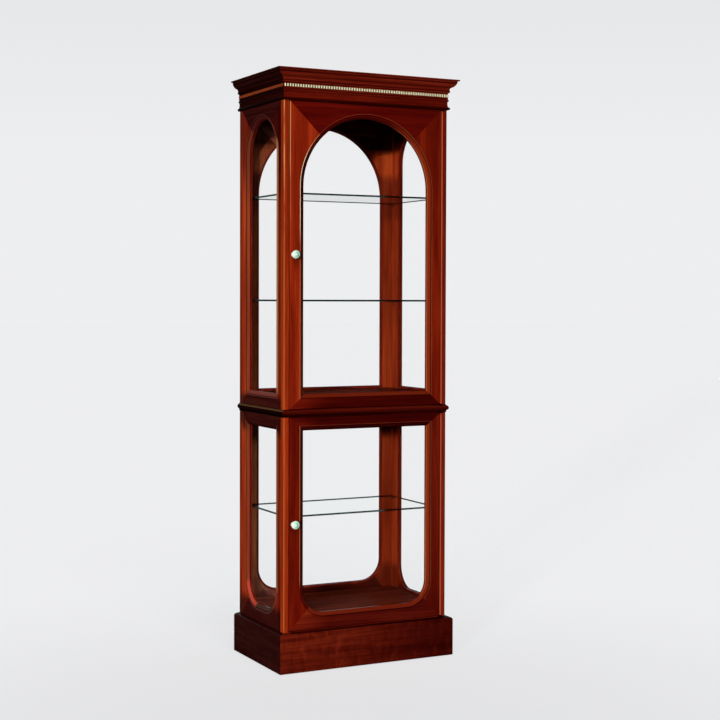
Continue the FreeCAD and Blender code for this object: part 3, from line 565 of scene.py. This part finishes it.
# Each moulding's bands: painted shade in the hollows and under the beads, a painted highlight along the
# waist bead, and a faint painted highlight on the crown's top edge.
MOULDINGS = {
    "plinth_front": ((0.066, 0.0040, 0.0014), 0.45, ()),
    "plinth_sides": ((0.125, 0.0090, 0.0040), 0.3, ()),
    "waist_moulding": ((0.034, 0.0014, 0.0006), 0.0,
                       ((0.843, 0.849, HOLLOW_SHADE), (0.8612, 0.8646, (1.5, 2.1, 1.8)))),
    "neck_moulding": ((0.088, 0.0044, 0.0014), 0.0,
                      ((1.879, 1.8865, HOLLOW_SHADE),)),
    "crown_moulding": ((0.140, 0.0086, 0.0030), 0.0,
                       ((1.9385, 1.9455, HOLLOW_SHADE), (1.9655, 1.9715, HOLLOW_SHADE),
                        (1.9750, 1.9810, (0.9, 1.2, 1.1)))),
}


def reach_past_body(tree, x, y):
    """How far a place stands out past the body's side, and past its front."""
    past_side = math_node(tree, "SUBTRACT", math_node(tree, "ABSOLUTE", x), BODY_HALF_WIDTH)
    past_front = math_node(tree, "SUBTRACT", BODY_FRONT_Y, y)
    return past_side, past_front


def moulding_runs_back(tree, x, y):
    """1 on the side runs, which stand out farther past the body's side than past its front."""
    return math_node(tree, "GREATER_THAN", *reach_past_body(tree, x, y))


def tone_ramp(axis, start, end, near_tint, far_tint):
    """A slow change of tone along a board, from one multiplying tint to another."""
    def wear_and_light_mark(tree, stain, *place):
        share = rise(tree, place[axis], start, end)
        paled = mixed(tree, stain, math_node(tree, "SUBTRACT", 1.0, share), near_tint, "MULTIPLY")
        return mixed(tree, paled, share, far_tint, "MULTIPLY")

    return wear_and_light_mark


def painted_bead_highlight(tree, stain, x, y, z):
    """A painted highlight in a muted gold along the top of the waist bead on the sides."""
    top = band(tree, z, *BEAD_TOP, 0.0006)
    share = math_node(tree, "MULTIPLY", top, moulding_runs_back(tree, x, y))
    return mixed(tree, stain, math_node(tree, "MULTIPLY", share, 0.65), BEAD_HIGHLIGHT)


# The plinth front is lighter at its left end and darker at its right; under the doors, a band of painted
# shadow.
plinth_tone_ramp = tone_ramp(0, *PLINTH_ENDS, (1.55, 1.90, 1.75), (0.54, 0.42, 0.48))
door_shadow = only_between(0, DOOR_LEFT_X, 0.40, painted_light_bands((*UNDER_DOOR, HOLLOW_SHADE)))
for number, (node, (tone, mottle, bands)) in enumerate(MOULDINGS.items()):
    wear_and_light = [plinth_tone_ramp, door_shadow] if node == "plinth_front" else [painted_light_bands(*bands)]
    if node == "waist_moulding":
        wear_and_light.append(painted_bead_highlight)
    dress(node, stained_wood(f"{node}_wood", moulding_runs_back, tone, 5.0 + 2.0 * number,
                             MOULDING_SIDE_SHADE, mottle=mottle, coat=0.15, wear_and_light=wear_and_light),
          EASED_EDGE if node.startswith("plinth") else None)

# Dentil strips: a narrow band with a row of small blocks under the crown, on the front and the sides.
# The band is stained like the mouldings and the faces of the blocks are gilded; at the sides the gilt is
# darkened as painted shade.
# The strips are glued in lengths to the frieze.
BLOCK_FACE = 0.0034
BLOCK_ROW = (1.9215, 1.9309)
LOWER_GROOVE = (1.912, 1.9165)
GILT = (0.90, 0.80, 0.52)
GILT_SIDE_SHADE = (0.42, 0.090, 0.040)


def gilded_blocks(tree, stain, x, y, z):
    """Gilt on the faces of the blocks, painted shade between them and in the groove below, and on the
    gilt of the side runs.
    """
    reach = math_node(tree, "MAXIMUM", *reach_past_body(tree, x, y))
    dark = mixed(tree, stain, band(tree, z, *BLOCK_ROW, 0.0002), (0.08, 0.07, 0.08), "MULTIPLY")
    dark = mixed(tree, dark, band(tree, z, *LOWER_GROOVE, 0.0006), HOLLOW_SHADE, "MULTIPLY")
    place = tree.nodes["Texture Coordinate"].outputs["Object"]
    leaf = streak_noise(tree, place, 300.0, 300.0, 0.3, 2.0, 0.0)
    gilt = ramp(tree, leaf, ((0.3, tinted(GILT, (0.85, 0.80, 0.70))), (0.6, GILT)))
    gilt = mixed(tree, gilt, moulding_runs_back(tree, x, y), GILT_SIDE_SHADE, "MULTIPLY")
    return mixed(tree, dark, math_node(tree, "GREATER_THAN", reach, BLOCK_FACE), gilt)


dress("dentil_strips", stained_wood("dentil_wood", moulding_runs_back, (0.080, 0.0040, 0.0014), 4.0,
                                    MOULDING_SIDE_SHADE, coat=0.15, wear_and_light=(gilded_blocks,)), edge=None)

# Panes: 4 mm clear float glass let into a rebate and held from inside by a wooden bead.
# Plain cut glass, so the edges stay hidden in the rebate.
PANES = [f"{wall}_{stage}_glass" for wall in WALL_TONES for stage in ("upper", "lower")]
PANES += ["upper_door_glass", "lower_door_glass"]


def clear_glass(name, tint, roughness, ior):
    """Clear glass that bends light for the eye and lets the lamps through.

    ior is kept far below that of real glass, because the panes show almost no reflection.
    """
    material = bpy.data.materials.new(name)
    material.use_nodes = True
    tree = material.node_tree
    shader = tree.nodes["Principled BSDF"]
    shader.inputs["Base Color"].default_value = (*tint, 1.0)
    shader.inputs["Roughness"].default_value = roughness
    shader.inputs["IOR"].default_value = ior
    shader.inputs["Transmission Weight"].default_value = 1.0
    through = tree.nodes.new("ShaderNodeBsdfTransparent")
    through.inputs["Color"].default_value = (*tint, 1.0)
    rays = tree.nodes.new("ShaderNodeLightPath")
    blend = tree.nodes.new("ShaderNodeMixShader")
    surface = tree.nodes["Material Output"].inputs["Surface"]
    link_chain(tree, rays.outputs["Is Shadow Ray"], blend.inputs["Fac"],
               shader.outputs[0], blend.inputs[1], through.outputs[0], blend.inputs[2],
               blend.outputs[0], surface)
    return material


pane_glass = clear_glass("pane_glass", (0.998, 1.0, 0.999), roughness=0.0, ior=1.05)
for node in PANES:
    dress(node, pane_glass, edge=0.0003)
bead_wood = stained_wood("bead_wood", "z", (0.080, 0.0050, 0.0020), 17.0)
for node in ("fixed_glass_beads", "upper_door_glass_bead", "lower_door_glass_bead"):
    dress(node, bead_wood, edge=0.0004)

# Shelves: three plates of 6 mm float glass with polished round edges, which lie loose on their pins.
# Light runs along inside the plate, so the edge shows the dark green of the glass.
SHELVES = ("upper_shelf", "middle_shelf", "lower_shelf")
SHELF_CORNER = 0.006


def mesh_piece(name, points, faces, materials, indices=None, smooth=True):
    """A new object at the origin from arrays of points and lists of faces."""
    mesh = bpy.data.meshes.new(name)
    mesh.from_pydata(points.tolist(), [], faces)
    for material in materials:
        mesh.materials.append(material)
    if indices is not None:
        mesh.polygons.foreach_set("material_index", indices)
    mesh.polygons.foreach_set("use_smooth", np.full(len(mesh.polygons), smooth))
    piece = bpy.data.objects.new(name, mesh)
    bpy.context.scene.collection.objects.link(piece)
    return piece


def ring_quads(rows, columns):
    """Faces between neighbouring rows of points, where each row closes on itself."""
    row, column = np.meshgrid(np.arange(rows - 1), np.arange(columns), indexing="ij")
    following = (column + 1) % columns
    corners = (row * columns + column, row * columns + following,
               (row + 1) * columns + following, (row + 1) * columns + column)
    return np.stack(corners, axis=-1).reshape(-1, 4)


def plate_surface(low, high, corner, edge_steps=7, corner_steps=6):
    """A plate with round corners in plan and a half-round edge.

    The path is the plan outline: four quarter circles joined by straight sides. The profile is a
    half circle whose diameter is the plate's thickness, carried round the path.
    """
    thick = (high[2] - low[2]) / 2
    turn = np.linspace(0.0, np.pi / 2, corner_steps)
    angles = np.concatenate([turn + quarter * np.pi / 2 for quarter in range(4)])
    signs = np.repeat(np.array([(1, 1), (-1, 1), (-1, -1), (1, -1)]), corner_steps, axis=0)
    middle = (np.array(low[:2]) + np.array(high[:2])) / 2
    half = (np.array(high[:2]) - np.array(low[:2])) / 2 - corner
    swing = np.linspace(-np.pi / 2, np.pi / 2, edge_steps)
    reach = corner - thick + thick * np.cos(swing)
    level = (low[2] + high[2]) / 2 + thick * np.sin(swing)
    plan = middle + signs * half
    around = np.stack([np.cos(angles), np.sin(angles)], axis=-1)
    flat = plan[None] + reach[:, None, None] * around[None]
    tall = np.broadcast_to(level[:, None, None], flat.shape[:2] + (1,))
    points = np.concatenate([flat, tall], axis=-1).reshape(-1, 3)
    columns = len(angles)
    rim = ring_quads(edge_steps, columns).tolist()
    bottom = list(range(columns))[::-1]
    top = list(range((edge_steps - 1) * columns, edge_steps * columns))
    return points, rim + [bottom, top]


shelf_glass = clear_glass("shelf_glass", (0.975, 0.995, 0.985), roughness=0.0, ior=1.004)
shelf_edge = clear_glass("shelf_edge_glass", (0.002, 0.007, 0.006), roughness=0.10, ior=1.12)
for node in SHELVES:
    low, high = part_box(node)
    points, faces = plate_surface(low, high, SHELF_CORNER)
    slots = np.zeros(len(faces), dtype=np.int32)
    slots[:-2] = 1
    plate = mesh_piece(f"{node}_plate", points, faces, (shelf_glass, shelf_edge), slots, smooth=False)
    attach(plate, "case")
    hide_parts(node)

# Shelf pins: turned brass pegs pushed into holes in the side stiles, four to a shelf.
# Polished brass, lacquered, a little duller in the turning marks.
PIN_BRASS = (0.20, 0.115, 0.045)


def polished_metal(name, colour, roughness, marks, metallic=1.0):
    """Polished metal with faint turning or drawing marks in its gloss. marks is cycles per metre."""
    material = bpy.data.materials.new(name)
    material.use_nodes = True
    tree = material.node_tree
    shader = tree.nodes["Principled BSDF"]
    place = tree.nodes.new("ShaderNodeTexCoord").outputs["Object"]
    scratches = streak_noise(tree, place, marks, marks * 6.0, 0.4, 2.0, 0.0)
    tint = ramp(tree, scratches, ((0.3, tinted(colour, (0.86,) * 3)), (0.7, colour)))
    rough = math_node(tree, "ADD", math_node(tree, "MULTIPLY", scratches, 0.12), roughness - 0.06)
    link_chain(tree, tint, shader.inputs["Base Color"], rough, shader.inputs["Roughness"])
    shader.inputs["Metallic"].default_value = metallic
    return material


dress("shelf_pins", polished_metal("pin_brass", PIN_BRASS, roughness=0.40, marks=180.0), edge=0.0003)

# Doors: two mitred and glazed leaves, the upper one arched, hung at the right on knife hinges.
# Each member has its own board, so stiles and rails differ in tone at the mitres.
DOOR_BOARDS = {
    "upper_door_knob_stile": ("z", (0.215, 0.0140, 0.0028)),
    "upper_door_hinge_stile": ("z", (0.118, 0.0060, 0.0014)),
    "upper_door_arched_rail": ("x", (0.080, 0.0024, 0.0010)),
    "upper_door_bottom_rail": ("x", (0.038, 0.0011, 0.0005)),
    "lower_door_knob_stile": ("z", (0.105, 0.0042, 0.0010)),
    "lower_door_hinge_stile": ("z", (0.095, 0.0050, 0.0016)),
    "lower_door_top_rail": ("x", (0.034, 0.0010, 0.0005)),
    "lower_door_bottom_rail": ("x", (0.054, 0.0026, 0.0012)),
}
DOOR_SIGHT_HALF = 0.231
DOOR_SPRING = 1.599
# Colours of painted highlight lines on the door mouldings.
CREAM_HIGHLIGHT = (0.50, 0.25, 0.10)
PALE_HIGHLIGHT = (0.66, 0.58, 0.36)
DOOR_EDGE_HIGHLIGHT = (0.44, 0.18, 0.066)
DOOR_EDGE_HIGHLIGHT_HEIGHTS = (1.42, 1.72)
PALE_HIGHLIGHT_HEIGHTS = (1.44, 1.72)
BEND_TOP = 0.29
FOOT_SHADE_HEIGHTS = (0.15, 0.32)
LIT_ARCH = (0.06, 0.21)
RED_LINE_HIGHLIGHT = (0.23, 0.030, 0.012)
# Ring tones of painted light and shade: dark on the knob stiles and the rails over the glass, which face
# away from the lamps, bright on the hinge stile and the bottom rail, which face them; most with a painted
# highlight line.
DOOR_RINGS = {
    "knob_stile": ((0.022, 0.0010, 0.0006), 0.75, CREAM_HIGHLIGHT, 0.48),
    "hinge_stile": ((0.190, 0.0170, 0.0036), 0.75, CREAM_HIGHLIGHT, 0.15, 0.35),
    "arched_rail": ((0.040, 0.0014, 0.0008), 0.60, RED_LINE_HIGHLIGHT, 0.60),
    "top_rail": ((0.018, 0.0008, 0.0005), 0.60, RED_LINE_HIGHLIGHT, 0.40),
    "bottom_rail": ((0.135, 0.0125, 0.0034), 0.75, RED_LINE_HIGHLIGHT, 0.0),
}
# The straight door rails are lighter towards their left ends; the arched rail is a little darker at its
# right end.
RAIL_TONE_RAMPS = {
    "arched_rail": tone_ramp(0, 0.04, 0.20, (1.0, 1.0, 1.0), (0.92, 0.95, 1.0)),
    "top_rail": tone_ramp(0, -0.28, -0.16, (2.4, 3.4, 2.2), (1.0, 1.0, 1.0)),
    "bottom_rail": tone_ramp(0, -0.28, -0.12, (2.6, 3.7, 2.5), (0.96, 0.96, 0.96)),
}


def setting_in(axis, start, end, wear_and_light_mark):
    """Painted light that sets in between two values of one coordinate, where axis 0, 1, 2 is x, y, z."""
    def limited(tree, stain, *place):
        return mixed(tree, stain, rise(tree, place[axis], start, end), wear_and_light_mark(tree, stain, *place))

    return limited


def upper_door_sight(tree, x, y, z):
    """Distance outwards from the upper door's opening."""
    return past_arched_sight(tree, x, z, DOOR_SIGHT_HALF, DOOR_SPRING)


def lower_door_sight(tree, x, y, z):
    """Distance outwards from the lower door's opening."""
    return past_lower_sight(tree, x, z, DOOR_SIGHT_HALF)


# A painted highlight along the left edge of the upper door, high up.
door_edge_highlight = painted_arris_highlight(DOOR_LEFT_X, BODY_FRONT_Y, 0.0018, 0.0032, DOOR_EDGE_HIGHLIGHT, DOOR_EDGE_HIGHLIGHT_HEIGHTS)
for number, (node, (grain, tone)) in enumerate(DOOR_BOARDS.items()):
    sight = upper_door_sight if node.startswith("upper") else lower_door_sight
    member = node.split("_", 2)[2]
    ring = moulded_ring(sight, *DOOR_RINGS[member])
    wear_and_light = [RAIL_TONE_RAMPS[member], ring] if member in RAIL_TONE_RAMPS else [ring]
    if node == "upper_door_knob_stile":
        pale_highlight_ring = moulded_ring(sight, *DOOR_RINGS[member][:2], PALE_HIGHLIGHT, 0.9)
        wear_and_light += [door_edge_highlight, only_between(2, *PALE_HIGHLIGHT_HEIGHTS, pale_highlight_ring, 0.04)]
    if node == "lower_door_knob_stile":
        plain_ring = moulded_ring(sight, *DOOR_RINGS["arched_rail"][:3], 0.0)
        wear_and_light = [only_between(2, BEND_TOP, 0.90, ring, 0.02),
                only_between(2, 0.0, BEND_TOP, plain_ring, 0.02)]
    if node == "lower_door_hinge_stile":
        wear_and_light.append(tone_ramp(2, *FOOT_SHADE_HEIGHTS, (0.60, 0.48, 0.52), (1.0, 1.0, 1.0)))
    if member == "arched_rail":
        lit_ring = moulded_ring(sight, *DOOR_RINGS["hinge_stile"])
        wear_and_light.append(setting_in(0, *LIT_ARCH, lit_ring))
    dress(node, stained_wood(f"{node}_wood", grain, tone, 21.0 + 1.9 * number, coat=0.15, wear_and_light=wear_and_light))

# Knobs: turned brass, a base disc, a slim neck and a flattened ball with a groove turned in its face.
# Polished and lacquered brass, with a pale mint base and little metal in it that partly stands in for its
# shine as painted sheen;
# a screw from inside holds each one.
BASE_RADIUS = 0.0095
BASE_CHAMFER = 0.0006
BASE_RIM = 0.0022
BASE_THICKNESS = 0.0030
NECK_RADIUS = 0.0050
COVE_WIDTH = 0.0030
COVE_LENGTH = 0.0040
NECK_SHARE = 0.34
HEAD_MIDDLE_SHARE = 0.40
HEAD_TURN = (math.radians(-68), math.radians(88))
HEAD_STEPS = 60
COVE_STEPS = 8
KNOB_COLUMNS = 48
GROOVE_PLACE = 0.44
GROOVE_SPREAD = 0.13
GROOVE_DEPTH = 0.0016
REFLECTION_MIDDLE = (-0.05, 0.0, -0.02)
DARK_REFLECTION_RING = (0.28, 0.52)


def turned_surface(radii, heights, centre, columns):
    """A profile turned about a line from the centre towards the front, closed at both poles.

    Point (i, j) is the centre, plus radius i round the line at angle j, plus height i along it.
    """
    angles = np.linspace(0.0, 2.0 * np.pi, columns, endpoint=False)
    rings = np.stack([
        centre[0] + radii[:, None] * np.cos(angles),
        np.broadcast_to(centre[1] - heights[:, None], (len(radii), columns)),
        centre[2] + radii[:, None] * np.sin(angles),
    ], axis=-1).reshape(-1, 3)
    ends = heights[[0, -1]]
    poles = np.stack([np.full(2, centre[0]), centre[1] - ends, np.full(2, centre[2])], axis=-1)
    count = len(rings)
    first = np.arange(columns)
    last = first + count - columns
    start_cap = np.stack([np.roll(first, -1), first, np.full(columns, count)], axis=-1)
    end_cap = np.stack([last, np.roll(last, -1), np.full(columns, count + 1)], axis=-1)
    faces = ring_quads(len(radii), columns).tolist() + start_cap.tolist() + end_cap.tolist()
    return np.concatenate([rings, poles]), faces


def grooved_brass(name, colour, groove_reflection, rim_highlight):
    """Lacquered brass, with a painted dark reflection in the right half of the groove and a painted
    highlight on the left rim.

    The mesh's own attribute face gives each point's place on the knob, in radii from its middle.
    """
    material = polished_metal(name, colour, roughness=0.30, marks=180.0, metallic=0.15)
    tree = material.node_tree
    shader = tree.nodes["Principled BSDF"]
    face = tree.nodes.new("ShaderNodeAttribute")
    face.attribute_name = "face"
    aside = tree.nodes.new("ShaderNodeVectorMath")
    aside.operation = "DISTANCE"
    aside.inputs[1].default_value = REFLECTION_MIDDLE
    across = tree.nodes.new("ShaderNodeSeparateXYZ")
    link_chain(tree, face.outputs["Vector"], aside.inputs[0], face.outputs["Vector"], across.inputs[0])
    ring = band(tree, aside.outputs["Value"], *DARK_REFLECTION_RING, 0.06)
    dark_reflection = math_node(tree, "MULTIPLY", ring, rise(tree, across.outputs[0], -0.30, 0.10))
    left = math_node(tree, "MULTIPLY", across.outputs[0], -1.0)
    base = mixed(tree, shader.inputs["Base Color"].links[0].from_socket, dark_reflection, groove_reflection)
    rimmed = mixed(tree, base, rise(tree, left, 0.45, 0.85), rim_highlight)
    tree.links.new(rimmed, shader.inputs["Base Color"])
    return material


brass = grooved_brass("polished_brass", (0.60, 0.94, 0.72), (0.10, 0.24, 0.20), (0.96, 1.0, 0.88))
for door in ("upper_door", "lower_door"):
    low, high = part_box(f"{door}_knob")
    centre = ((low.x + high.x) / 2, high.y, (low.z + high.z) / 2)
    length = high.y - low.y
    head_radius = (high.x - low.x) / 2
    neck_end = NECK_SHARE * length
    turn = np.linspace(*HEAD_TURN, HEAD_STEPS)
    head_middle = neck_end + HEAD_MIDDLE_SHARE * (length - neck_end)
    head_radii = head_radius * np.cos(turn)
    head_out = np.where(turn < 0, head_middle + (head_middle - neck_end) * np.sin(turn),
                        head_middle + (length - head_middle) * np.sin(turn))
    groove = np.exp(-((head_radii / head_radius - GROOVE_PLACE) / GROOVE_SPREAD) ** 2)
    head_out = head_out - np.where(turn > 0, GROOVE_DEPTH * groove, 0.0)
    cove = np.linspace(0.0, np.pi / 2, COVE_STEPS)
    cove_radii = NECK_RADIUS + COVE_WIDTH * (1 - np.sin(cove))
    cove_out = BASE_THICKNESS + COVE_LENGTH * (1 - np.cos(cove))
    base_radii = (BASE_RADIUS, BASE_RADIUS, BASE_RADIUS - BASE_CHAMFER)
    base_out = (0.0, BASE_RIM, BASE_THICKNESS)
    radii = np.concatenate([base_radii, cove_radii, head_radii])
    heights = np.concatenate([base_out, cove_out, head_out])
    points, faces = turned_surface(radii, heights, centre, KNOB_COLUMNS)
    knob = mesh_piece(f"{door}_brass_knob", points, faces, (brass,))
    on_face = (points - np.array(centre)) / head_radius * np.array((1.0, 0.0, 1.0))
    knob.data.attributes.new("face", "FLOAT_VECTOR", "POINT").data.foreach_set("vector", on_face.ravel())
    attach(knob, door)
    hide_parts(f"{door}_knob")

# Hinges and fittings: dark brass knife hinges at the right of the doors, steel strikes and screws,
# moulded catches behind the rails, and plastic glides nailed into the feet of the posts.
dark_brass = polished_metal("dark_brass", (0.075, 0.030, 0.014), roughness=0.38, marks=220.0)
steel = polished_metal("bright_steel", (0.60, 0.60, 0.58), roughness=0.26, marks=260.0)
for node in ("hinge_frame_leaves", "upper_door_hinge_leaves", "lower_door_hinge_leaves", "hinge_pins"):
    dress(node, dark_brass, edge=0.0002)
for node in ("upper_door_knob_screw", "lower_door_knob_screw",
             "upper_door_strike_plate", "lower_door_strike_plate"):
    dress(node, steel, edge=0.0002)


def moulded_plastic(name, colour):
    """Moulded plastic with a fine spark-eroded grain."""
    material = bpy.data.materials.new(name)
    material.use_nodes = True
    tree = material.node_tree
    shader = tree.nodes["Principled BSDF"]
    place = tree.nodes.new("ShaderNodeTexCoord").outputs["Object"]
    grain = streak_noise(tree, place, 1800.0, 1800.0, 0.2, 2.0, 0.0)
    tint = ramp(tree, grain, ((0.3, tinted(colour, (0.8,) * 3)), (0.7, colour)))
    bump = tree.nodes.new("ShaderNodeBump")
    bump.inputs["Strength"].default_value = 0.2
    bump.inputs["Distance"].default_value = 0.0002
    link_chain(tree, tint, shader.inputs["Base Color"], grain, bump.inputs["Height"],
               bump.outputs[0], shader.inputs["Normal"])
    shader.inputs["Roughness"].default_value = 0.5
    return material


dress("magnetic_catches", moulded_plastic("brown_plastic", (0.060, 0.028, 0.016)), edge=0.0006)
dress("floor_glides", moulded_plastic("black_plastic", (0.020, 0.020, 0.020)), edge=0.0003)

# Studio: a pale floor that melts into a pale backdrop, a key lamp at the left and a soft one overhead.
# For gloss, a lit backdrop stands behind the case and the room in front of it is dim,
# so that the lacquer shines only at the edges.
PALE = (0.855, 0.858, 0.870)
FLOOR_HALF = 60.0
FLOOR_SHARE = 0.28
FLOOR_GLOSS = 0.05
FLOOR_GLOW = (0.745, 0.845)
GLOW_REACH = (0.2, 2.4)
GLOW_STEP = 0.9
BACKDROP_WAY = (0.454, 0.891, 0.0)
BACKDROP_LOBE = {"From Min": 0.66, "From Max": 0.90, "To Min": 0.02, "To Max": 1.0}
BACKDROP_FALL = 0.07
FALL_HEIGHTS = (0.06, 0.22)
FILL = 0.06
LAMP_TARGET = (0.0, 0.0, 1.1)


def added_shader(tree, first, second):
    """Two shaders' light added together."""
    node = tree.nodes.new("ShaderNodeAddShader")
    link_chain(tree, first, node.inputs[0], second, node.inputs[1])
    return node.outputs[0]


def seen_by_eye_or_glass(tree):
    """1 for rays from the eye, straight or through glass alone; then 1 for rays that gloss has turned."""
    rays = tree.nodes.new("ShaderNodeLightPath")
    eye = rays.outputs["Is Camera Ray"]
    glass = rays.outputs["Is Transmission Ray"]
    gloss_turns = rays.outputs["Glossy Depth"]
    matt_turns = rays.outputs["Diffuse Depth"]
    turned = math_node(tree, "ADD", gloss_turns, matt_turns, True)
    seen = math_node(tree, "SUBTRACT", math_node(tree, "ADD", eye, glass, True), turned, True)
    glossy = math_node(tree, "SUBTRACT", gloss_turns, matt_turns, True)
    return seen, glossy


def studio_world():
    """A pale surround for the eye and glass, a backdrop on one side for gloss, and a soft fill."""
    world = bpy.data.worlds.new("studio")
    bpy.context.scene.world = world
    world.use_nodes = True
    tree = world.node_tree
    seen, glossy = seen_by_eye_or_glass(tree)
    towards = tree.nodes.new("ShaderNodeVectorMath")
    towards.operation = "DOT_PRODUCT"
    towards.inputs[1].default_value = BACKDROP_WAY
    tree.links.new(tree.nodes.new("ShaderNodeTexCoord").outputs["Generated"], towards.inputs[0])
    lobe = tree.nodes.new("ShaderNodeMapRange")
    lobe.interpolation_type = "SMOOTHSTEP"
    for name, value in BACKDROP_LOBE.items():
        lobe.inputs[name].default_value = value
    tree.links.new(towards.outputs["Value"], lobe.inputs["Value"])
    height = tree.nodes.new("ShaderNodeSeparateXYZ")
    tree.links.new(tree.nodes["Texture Coordinate"].outputs["Generated"], height.inputs[0])
    falling = math_node(tree, "MULTIPLY", rise(tree, height.outputs[2], *FALL_HEIGHTS), BACKDROP_FALL)
    pool = math_node(tree, "SUBTRACT", seen, math_node(tree, "MULTIPLY", seen, falling))
    shown = math_node(tree, "MAXIMUM", pool, math_node(tree, "MULTIPLY", glossy, lobe.outputs[0]))
    fill = math_node(tree, "MULTIPLY", math_node(tree, "SUBTRACT", 1.0, glossy), FILL)
    back = tree.nodes["Background"]
    back.inputs["Color"].default_value = (*PALE, 1.0)
    tree.links.new(math_node(tree, "MAXIMUM", shown, fill), back.inputs["Strength"])


def studio_floor():
    """A pale floor: for the eye it glows like the backdrop, a little less in a pool before the case."""
    points = np.array([(-FLOOR_HALF, -FLOOR_HALF, 0), (FLOOR_HALF, -FLOOR_HALF, 0),
                       (FLOOR_HALF, FLOOR_HALF, 0), (-FLOOR_HALF, FLOOR_HALF, 0)], dtype=float)
    material = bpy.data.materials.new("pale_floor")
    material.use_nodes = True
    tree = material.node_tree
    seen, glossy = seen_by_eye_or_glass(tree)
    glow = tree.nodes.new("ShaderNodeEmission")
    glow.inputs["Color"].default_value = (*PALE, 1.0)
    away = tree.nodes.new("ShaderNodeVectorMath")
    away.operation = "DISTANCE"
    away.inputs[1].default_value = tinted(BACKDROP_WAY, (-GLOW_STEP,) * 3)
    tree.links.new(tree.nodes.new("ShaderNodeTexCoord").outputs["Object"], away.inputs[0])
    far = rise(tree, away.outputs["Value"], *GLOW_REACH)
    pool = math_node(tree, "MULTIPLY", far, FLOOR_GLOW[1] - FLOOR_GLOW[0])
    light = math_node(tree, "MULTIPLY", seen, math_node(tree, "ADD", pool, FLOOR_GLOW[0]))
    tree.links.new(light, glow.inputs["Strength"])
    matt = tree.nodes.new("ShaderNodeBsdfDiffuse")
    matt.inputs["Color"].default_value = (*tinted(PALE, (FLOOR_SHARE,) * 3), 1.0)
    dim = tree.nodes.new("ShaderNodeBsdfDiffuse")
    dim.inputs["Color"].default_value = (*tinted(PALE, (FLOOR_GLOSS,) * 3), 1.0)
    blend = tree.nodes.new("ShaderNodeMixShader")
    lit = added_shader(tree, glow.outputs[0], matt.outputs[0])
    surface = tree.nodes["Material Output"].inputs["Surface"]
    link_chain(tree, glossy, blend.inputs["Fac"], lit, blend.inputs[1],
               dim.outputs[0], blend.inputs[2], blend.outputs[0], surface)
    mesh_piece("studio_floor", points, [[0, 1, 2, 3]], (material,), smooth=False)


def lamp(name, kind, place, target, power, **facts):
    """A softened lamp at a place, turned towards a target, with its kind's own facts.

    Gloss shows the room alone, so a lamp is hidden from it.
    """
    light = bpy.data.lights.new(name, kind)
    light.energy = power
    for fact, value in facts.items():
        setattr(light, fact, value)
    holder = bpy.data.objects.new(name, light)
    holder.location = place
    aim = mathutils.Vector(target) - mathutils.Vector(place)
    holder.rotation_euler = aim.to_track_quat("-Z", "Y").to_euler()
    holder.visible_glossy = False
    bpy.context.scene.collection.objects.link(holder)


studio_world()
studio_floor()
lamp("key", "SUN", (-3.4, -3.4, 1.65), LAMP_TARGET, power=3.3, angle=math.radians(5))
lamp("overhead", "SUN", (-0.6, -2.6, 4.0), LAMP_TARGET, power=1.5, angle=math.radians(30))

# Camera: the photo's own place, turn and lens, solved from the edges of the case in perspective.
# The picture is shifted along its height, as a crop of the photo would leave it.
PICTURE_HEIGHT = 720.0
PICTURE_SHIFT = -20.0
CAMERA_PLACE = (-2.3312, -4.6981, 1.2353)
CAMERA_YAW = math.radians(26.983)
CAMERA_PITCH = math.radians(-1.599)
CAMERA_ROLL = math.radians(0.166)
view = bpy.data.cameras.new("photo_view")
view.lens = 75.965
view.sensor_width = 36.0
view.shift_y = PICTURE_SHIFT / PICTURE_HEIGHT
camera = bpy.data.objects.new("photo_view", view)
camera.location = CAMERA_PLACE
camera.rotation_euler = (mathutils.Matrix.Rotation(-CAMERA_YAW, 3, "Z")
                         @ mathutils.Matrix.Rotation(math.pi / 2 + CAMERA_PITCH, 3, "X")
                         @ mathutils.Matrix.Rotation(CAMERA_ROLL, 3, "Z")).to_euler()
bpy.context.scene.collection.objects.link(camera)
bpy.context.scene.camera = camera
bpy.context.scene.view_settings.view_transform = "Standard"
